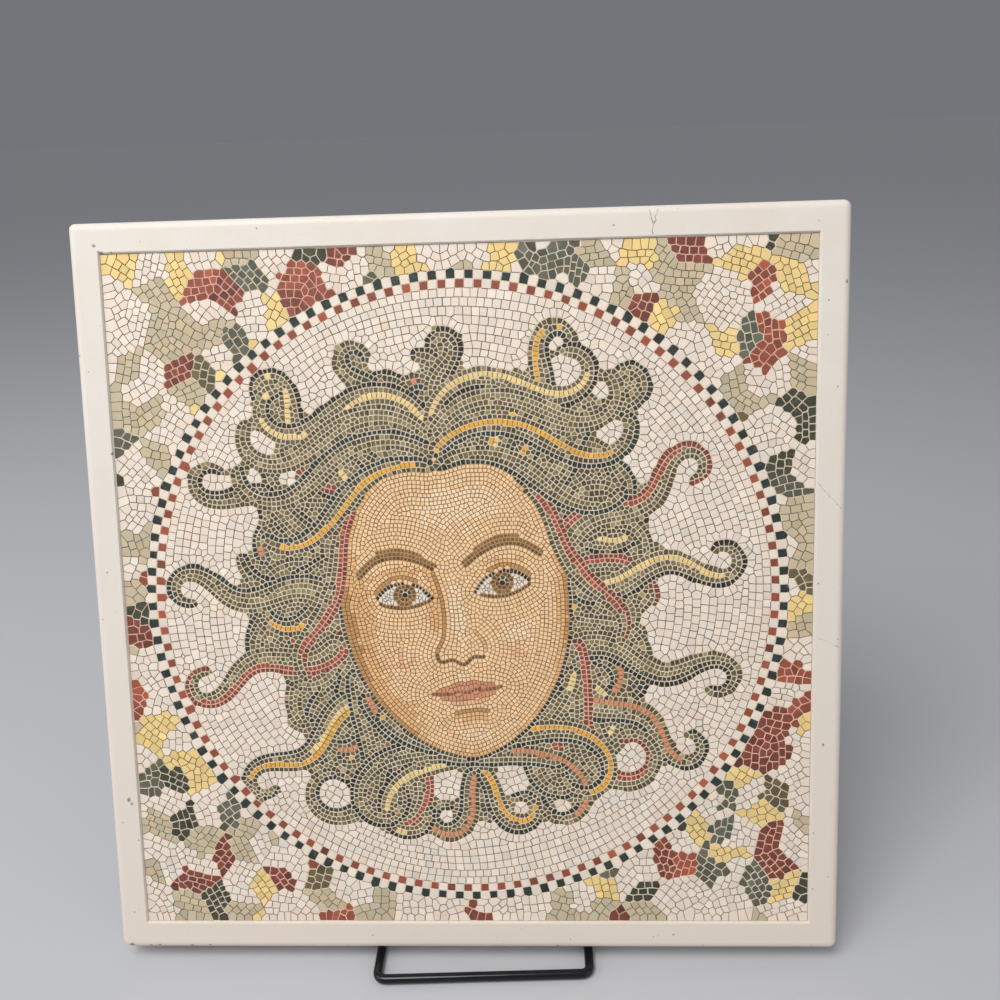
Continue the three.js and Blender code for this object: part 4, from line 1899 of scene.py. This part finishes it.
@dataclass(frozen=True)
class Damage:
    """Chips, pits and hairlines of one surface. Millimetres."""

    chips: tuple[Chip, ...]
    hairlines: tuple[Hairline, ...]
    height: float = 12.9

    def mask(self, g: Graph, plan: NodeSocket) -> NodeSocket:
        """Marks everything that is chipped or cracked.

        Args:
            g: the material's graph.
            plan: the place on the panel.

        Returns:
            The mask.
        """
        marks = []
        for c in self.chips:
            marks.append(g.place(Effects.chip(), Place=plan, Middle=(c.x, c.y, self.height), Size=c.size))
        for h in self.hairlines:
            start, along = (h.x, h.y, self.height), (h.to_x - h.x, h.to_y - h.y, 0)
            marks.append(g.place(Effects.hairline(), Place=plan, From=start, Along=along, Width=h.width))
        total = marks[0]
        for mark in marks[1:]:
            total = g.value("MAXIMUM", total, mark)
        return total


RIM_DAMAGE = Damage(
    (
        Chip(-138.2, 139.6, 0.7), Chip(-136.6, 137.4, 0.5), Chip(-135.7, 136.6, 0.9),
        Chip(-131.6, 136.9, 0.5), Chip(-147.9, 98.2, 1.0), Chip(-137.1, 59.8, 0.6),
        Chip(-142.6, 12.4, 0.4), Chip(-140.7, -82.9, 0.9),
        Chip(-139.6, -84.6, 0.6), Chip(-144.1, -147.0, 1.1), Chip(-136.0, -147.3, 0.8),
        Chip(-132.1, -147.0, 0.7), Chip(-118.4, -147.4, 0.9), Chip(-110.8, -146.9, 0.6),
        Chip(-52.6, -147.2, 0.5), Chip(34.7, -147.3, 0.7), Chip(146.9, 118.3, 0.7), Chip(141.2, -61.5, 0.5),
        Chip(60.2, 141.3, 0.4), Chip(-74.8, 144.2, 0.4),
    ),
    (
        Hairline(74.4, 137.0, 74.9, 141.0), Hairline(74.9, 141.0, 73.4, 146.8),
        Hairline(74.9, 141.0, 77.0, 146.9), Hairline(137.0, 43.0, 147.9, 31.6, 0.16),
        Hairline(138.2, -18.0, 147.8, -22.4, 0.14),
    ),
)
FIELD_DAMAGE = Damage(
    (Chip(-132.5, -91.2, 0.9), Chip(-88.2, -104.6, 0.6), Chip(118.7, 96.4, 0.6), Chip(31.2, -119.8, 0.5)),
    (Hairline(109.8, -21.4, 118.6, -26.2, 0.2),),
)


@dataclass(frozen=True)
class StoneFinish:
    """The toned faces of the stones and the joints between them."""

    wash: Colour = (0.78, 0.69, 0.58, 1)
    dirt: Colour = (0.09, 0.07, 0.055, 1)
    roughness: float = 0.62

    def material(self) -> Material:
        """Builds the material.

        Returns:
            The material.
        """
        material, g, shader = start_material("toned cast stones")
        own = g.add("ShaderNodeAttribute", attribute_name="stone colour").outputs["Color"]
        plan = g.plan()
        toned = g.scaled(own, g.place(Effects.mottle(), Place=plan, Fine=1.6, Broad=0.09, Amount=0.11))
        wash = g.spread(g.noise(plan, 0.7, 4, 0.65), 0.55, 0.8, 0.0, 0.16)
        washed = g.mix(wash, toned, self.wash)
        dots = g.place(Effects.specks(), Place=plan, Scale=0.55, Amount=0.012)
        marks = FIELD_DAMAGE.mask(g, plan)
        dark = g.value("MAXIMUM", g.value("MULTIPLY", dots, 0.75), g.value("MULTIPLY", marks, 0.8))
        rough = g.spread(g.noise(plan, 0.8), 0.3, 0.7, self.roughness - 0.12, self.roughness + 0.12)
        g.feed(shader, {"Base Color": g.mix(dark, washed, self.dirt), "Roughness": rough})
        g.bump(shader, 0.35, 0.0002, g.noise(plan, 1.5, 5, 0.7))
        return material


@dataclass(frozen=True)
class PlasterFinish:
    """The off-white rim and sides. They turn warmer and darker towards the bottom, partly from a warm tint of
    the plaster and partly from painted shade.
    """

    light: Colour = (0.76, 0.717, 0.648, 1)
    warm: Colour = (0.755, 0.65, 0.56, 1)
    rubbed: Colour = (0.60, 0.50, 0.41, 1)
    freckle: Colour = (0.42, 0.34, 0.27, 1)
    dirt: Colour = (0.13, 0.10, 0.08, 1)
    roughness: float = 0.5

    def material(self) -> Material:
        """Builds the material.

        Returns:
            The material.
        """
        material, g, shader = start_material("cast plaster rim")
        plan = g.plan()
        height = g.feed(g.add("ShaderNodeSeparateXYZ"), {0: plan}).outputs["Y"]
        # Painted shade and tint: the plaster turns warmer and darker from 100 mm up the face down to the
        # bottom edge. Part of this is a warm tint of the plaster. Part is painted shade, where the light from
        # above falls off.
        low = g.spread(height, 100.0, -150.0, 0.0, 0.75)
        cloud = g.spread(g.noise(plan, 0.05, 5, 0.6), 0.36, 0.7, 0.0, 0.55)
        base = g.mix(g.value("MAXIMUM", cloud, low), self.light, self.warm)
        base = g.mix(g.spread(g.noise(plan, 0.9, 6, 0.75), 0.62, 0.72, 0.0, 0.22), base, self.rubbed)
        freckles = g.place(Effects.specks(), Place=plan, Scale=1.3, Amount=0.16)
        base = g.mix(g.value("MULTIPLY", freckles, 0.22), base, self.freckle)
        dots = g.place(Effects.specks(), Place=plan, Scale=0.5, Amount=0.06)
        marks = RIM_DAMAGE.mask(g, plan)
        dark = g.value("MAXIMUM", g.value("MULTIPLY", dots, 0.6), g.value("MULTIPLY", marks, 0.72))
        rough = g.spread(g.noise(plan, 0.3), 0.3, 0.7, self.roughness - 0.1, self.roughness + 0.12)
        g.feed(shader, {"Base Color": g.mix(dark, base, self.dirt), "Roughness": rough})
        pitted = g.value("MULTIPLY_ADD", freckles, 0.35, marks)
        g.bump(shader, 0.3, 0.0003, g.value("SUBTRACT", g.noise(plan, 0.6, 6, 0.65), pitted))
        return material


@dataclass(frozen=True)
class BackFinish:
    """The plain back, greyer and coarser than the front."""

    light: Colour = (0.70, 0.645, 0.58, 1)
    dark: Colour = (0.56, 0.50, 0.43, 1)
    pit: Colour = (0.2, 0.17, 0.14, 1)
    roughness: float = 0.8

    def material(self) -> Material:
        """Builds the material.

        Returns:
            The material.
        """
        material, g, shader = start_material("plain cast back")
        plan = g.plan()
        cloud = g.spread(g.noise(plan, 0.03, 6, 0.65), 0.35, 0.7, 0.0, 1.0)
        pits = g.place(Effects.specks(), Place=plan, Scale=0.22, Amount=0.18)
        base = g.mix(g.value("MULTIPLY", pits, 0.5), g.mix(cloud, self.light, self.dark), self.pit)
        g.feed(shader, {"Base Color": base, "Roughness": self.roughness})
        g.bump(shader, 0.5, 0.0006, g.value("SUBTRACT", g.noise(plan, 0.35, 6, 0.6), pits))
        return material


@dataclass(frozen=True)
class WireFinish:
    """The easel's glossy black coating."""

    coat: Colour = (0.003, 0.0038, 0.0055, 1)
    dust: Colour = (0.12, 0.11, 0.10, 1)
    specular: float = 0.4

    def material(self) -> Material:
        """Builds the material.

        Returns:
            The material.
        """
        material, g, shader = start_material("glossy black coating")
        place = g.add("ShaderNodeTexCoord").outputs["Object"]
        dust = g.spread(g.noise(place, 260, 5, 0.6), 0.58, 0.85, 0.0, 0.05)
        rough = g.spread(g.noise(place, 90), 0.3, 0.75, 0.12, 0.22)
        base = g.mix(dust, self.coat, self.dust)
        g.feed(shader, {"Base Color": base, "Roughness": rough, "Specular IOR Level": self.specular})
        g.bump(shader, 0.12, 0.0002, g.noise(place, 420, 2))
        return material


# The easel

def pick(body: Object) -> None:
    """Makes an object the only one that is selected, and the active one."""
    bpy.ops.object.select_all(action="DESELECT")
    body.select_set(True)
    bpy.context.view_layer.objects.active = body


@dataclass
class WireEasel:
    """The bent-wire easel. Metres."""

    diameter: float = 0.0038
    lean: float = math.radians(17)
    width: float = 0.091
    offset: float = 0.004
    upright: float = 0.180
    ledge_reach: float = 0.022
    ledge_skew: float = 0.003
    front_bend: float = 0.0035
    prop_width: float = 0.064
    prop_spread: float = math.radians(20)
    prop_bend: float = 0.006
    facets: int = 24
    cad_facets: int = 12
    bend_steps: int = 8
    bead: float = 0.00205
    skin: float = 0.00001
    smooth_under: float = math.radians(40)

    @property
    def radius(self) -> float:
        """The wire's radius."""
        return self.diameter / 2

    @property
    def heel_y(self) -> float:
        """Where the arms turn up into the uprights, taken from the CAD node's back."""
        top = self.upright * math.sin(self.lean)
        fall = self.upright * math.cos(self.lean)
        foot = top + fall * math.tan(self.prop_spread)
        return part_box("wire_easel")[1].y - self.radius / math.cos(math.pi / self.cad_facets) - foot

    def top(self, x: float) -> Vector:
        """The upper end of an upright's middle line."""
        rise = self.upright * math.cos(self.lean)
        return Vector((x, self.heel_y + self.upright * math.sin(self.lean), self.radius + rise))

    def build(self) -> Object:
        """Bends the three wires, brazes them together and dresses them.

        Returns:
            The easel.
        """
        half, prop_half = self.width / 2 - self.radius, self.prop_width / 2 - self.radius
        front = []
        for sign in (-1, 1):
            x = self.offset + sign * half
            reach = self.ledge_reach - sign * self.ledge_skew / 2
            heel = Vector((x, self.heel_y, self.radius))
            arm = [self.top(x), heel, heel - Vector((0, reach, 0))]
            front += arm if sign < 0 else arm[::-1]
        legs = []
        for sign in (-1, 1):
            x = self.offset + sign * prop_half
            head = self.top(x)
            foot = Vector((x, head.y + (head.z - self.radius) * math.tan(self.prop_spread), self.radius))
            legs += [head, foot] if sign < 0 else [foot, head]
        easel = self.bend("wire_easel_dressed", front, [self.front_bend] * 4)
        ends = [self.top(self.offset + sign * self.width / 2) for sign in (-1, 1)]
        bar = self.bend("crossbar", ends, [])
        prop = self.bend("prop", legs, [self.prop_bend] * 2)
        beads = [self.braze(self.top(self.offset + sign * x)) for sign in (-1, 1) for x in (half, prop_half)]
        for piece in (bar, prop, *beads):
            self.fuse(easel, piece)
        pick(easel)
        bpy.ops.object.shade_smooth_by_angle(angle=self.smooth_under)
        easel.data.materials.clear()
        easel.data.materials.append(WireFinish().material())
        log.info("wire easel: %d faces", len(easel.data.polygons))
        return easel

    def bend(self, name: str, corners: list[Vector], radii: list[float]) -> Object:
        """Bends a round wire: a circle, extruded along each run and spun round each bend.

        Args:
            name: the piece's name.
            corners: where the runs of its middle line meet, and its two ends.
            radii: bend radius at each corner between the ends.

        Returns:
            The closed wire.
        """
        first = (corners[1] - corners[0]).normalized()
        turn = first.to_track_quat("Z", "Y").to_euler()
        bpy.ops.mesh.primitive_circle_add(vertices=self.facets, radius=self.radius - self.skin,
                                          fill_type="NGON", location=corners[0], rotation=turn)
        wire = bpy.context.object
        wire.name = name
        bpy.ops.object.mode_set(mode="EDIT")
        bpy.ops.mesh.select_all(action="SELECT")
        here = corners[0]
        for k in range(1, len(corners)):
            into = (corners[k] - corners[k - 1]).normalized()
            if k == len(corners) - 1:
                bpy.ops.mesh.extrude_region_move(TRANSFORM_OT_translate={"value": corners[k] - here})
                break
            away = (corners[k + 1] - corners[k]).normalized()
            angle = into.angle(away)
            setback = radii[k - 1] * math.tan(angle / 2)
            start = corners[k] - into * setback
            bpy.ops.mesh.extrude_region_move(TRANSFORM_OT_translate={"value": start - here})
            inward = (away - into * away.dot(into)).normalized()
            bpy.ops.mesh.spin(steps=self.bend_steps, dupli=False, angle=-angle,
                              center=start + inward * radii[k - 1], axis=into.cross(away).normalized())
            here = corners[k] + away * setback
        bpy.ops.mesh.select_all(action="SELECT")
        bpy.ops.mesh.remove_doubles(threshold=1e-6)
        bpy.ops.mesh.normals_make_consistent(inside=False)
        bpy.ops.object.mode_set(mode="OBJECT")
        bpy.ops.object.transform_apply(location=True, rotation=True, scale=True)
        return wire

    def braze(self, at: Vector) -> Object:
        """Makes a small bead of braze where two wires meet.

        Args:
            at: its middle.

        Returns:
            The bead.
        """
        bpy.ops.mesh.primitive_uv_sphere_add(segments=20, ring_count=12, radius=self.bead, location=at)
        bead = bpy.context.object
        bead.name = "bead"
        bpy.ops.object.transform_apply(location=True, rotation=True, scale=True)
        return bead

    def fuse(self, body: Object, piece: Object) -> None:
        """Joins a piece to a body by a boolean, and removes the piece.

        Args:
            body: what stays.
            piece: what is joined to it.
        """
        joint = body.modifiers.new("braze", "BOOLEAN")
        joint.operation = "UNION"
        joint.solver = "EXACT"
        joint.object = piece
        pick(body)
        bpy.ops.object.modifier_apply(modifier=joint.name)
        bpy.data.objects.remove(piece)


# The studio

@dataclass
class Studio:
    """The floor, the lights and the camera. Metres."""

    camera_at: Triple = (0.0296, -0.3257, 0.3279)
    camera_to: Triple = (0.0152, -0.0045, 0.1866)
    camera_roll: float = math.radians(-2.11)
    lens: float = 32.4
    floor_size: float = 24.0
    floor: Colour = (0.50, 0.51, 0.535, 1)
    room: Colour = (0.95, 0.96, 1.0, 1)
    room_strength: float = 0.34
    behind: Colour = (0.171, 0.178, 0.196, 1)
    aim: Triple = (0, 0, 0.15)

    def build(self) -> None:
        """Sets everything up."""
        self.add_floor()
        self.add_camera()
        self.add_lights()
        log.info("studio: floor, camera and lights")

    def add_floor(self) -> None:
        """Adds a plain pale floor."""
        bpy.ops.mesh.primitive_plane_add(size=self.floor_size)
        floor = bpy.context.object
        floor.name = "studio_floor"
        material, g, shader = start_material("pale floor")
        g.feed(shader, {"Base Color": self.floor, "Roughness": 0.85})
        floor.data.materials.append(material)

    def add_camera(self) -> None:
        """Adds the camera at the photograph's angle."""
        data = bpy.data.cameras.new("camera")
        data.lens = self.lens
        data.sensor_width = 36.0
        data.clip_start = 0.01
        camera = bpy.data.objects.new("camera", data)
        at, to = Vector(self.camera_at), Vector(self.camera_to)
        ahead = (to - at).normalized()
        level = ahead.cross(Vector((0, 0, 1))).normalized()
        right = level * math.cos(self.camera_roll) + level.cross(ahead) * math.sin(self.camera_roll)
        up = right.cross(ahead)
        camera.matrix_world = Matrix.Translation(at) @ Matrix((right, up, -ahead)).transposed().to_4x4()
        bpy.context.collection.objects.link(camera)
        bpy.context.scene.camera = camera

    def add_lights(self) -> None:
        """Adds soft lights from above, the left and the front, and a pale world."""
        for name, at, size, power, colour in (
            ("top light", (-0.35, -0.55, 1.25), 0.7, 12.0, (1.0, 0.985, 0.96)),
            ("left light", (-1.1, -0.5, 0.75), 0.8, 4.5, (0.96, 0.98, 1.0)),
            ("right light", (1.0, -0.7, 0.6), 0.9, 1.8, (1.0, 0.93, 0.86)),
        ):
            data = bpy.data.lights.new(name, "AREA")
            data.size = size
            data.energy = power
            data.color = colour
            light = bpy.data.objects.new(name, data)
            light.location = at
            light.rotation_euler = (Vector(self.aim) - Vector(at)).to_track_quat("-Z", "Y").to_euler()
            bpy.context.collection.objects.link(light)
        world = bpy.data.worlds.new("pale room")
        world.use_nodes = True
        g, nodes = Graph(world.node_tree), world.node_tree.nodes
        lit = g.feed(nodes["Background"], {"Color": self.room, "Strength": self.room_strength})
        seen = g.feed(g.add("ShaderNodeBackground"), {"Color": self.behind})
        ray = g.add("ShaderNodeLightPath").outputs["Is Camera Ray"]
        mix = g.feed(g.add("ShaderNodeMixShader"), {0: ray, 1: lit.outputs[0], 2: seen.outputs[0]})
        g.feed(nodes["World Output"], {0: mix.outputs[0]})
        bpy.context.scene.world = world
        bpy.context.scene.view_settings.view_transform = "Standard"


def main() -> None:
    """Builds the studio, the panel and the easel, and hands them to the frame."""
    logging.basicConfig(level=logging.INFO, format="%(name)s: %(message)s")
    Studio().build()
    panel = MosaicPanel().build()
    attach(panel, "root")
    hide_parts("mosaic_panel")
    easel = WireEasel().build()
    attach(easel, "root")
    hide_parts("wire_easel")


if __name__ == "__main__":
    main()
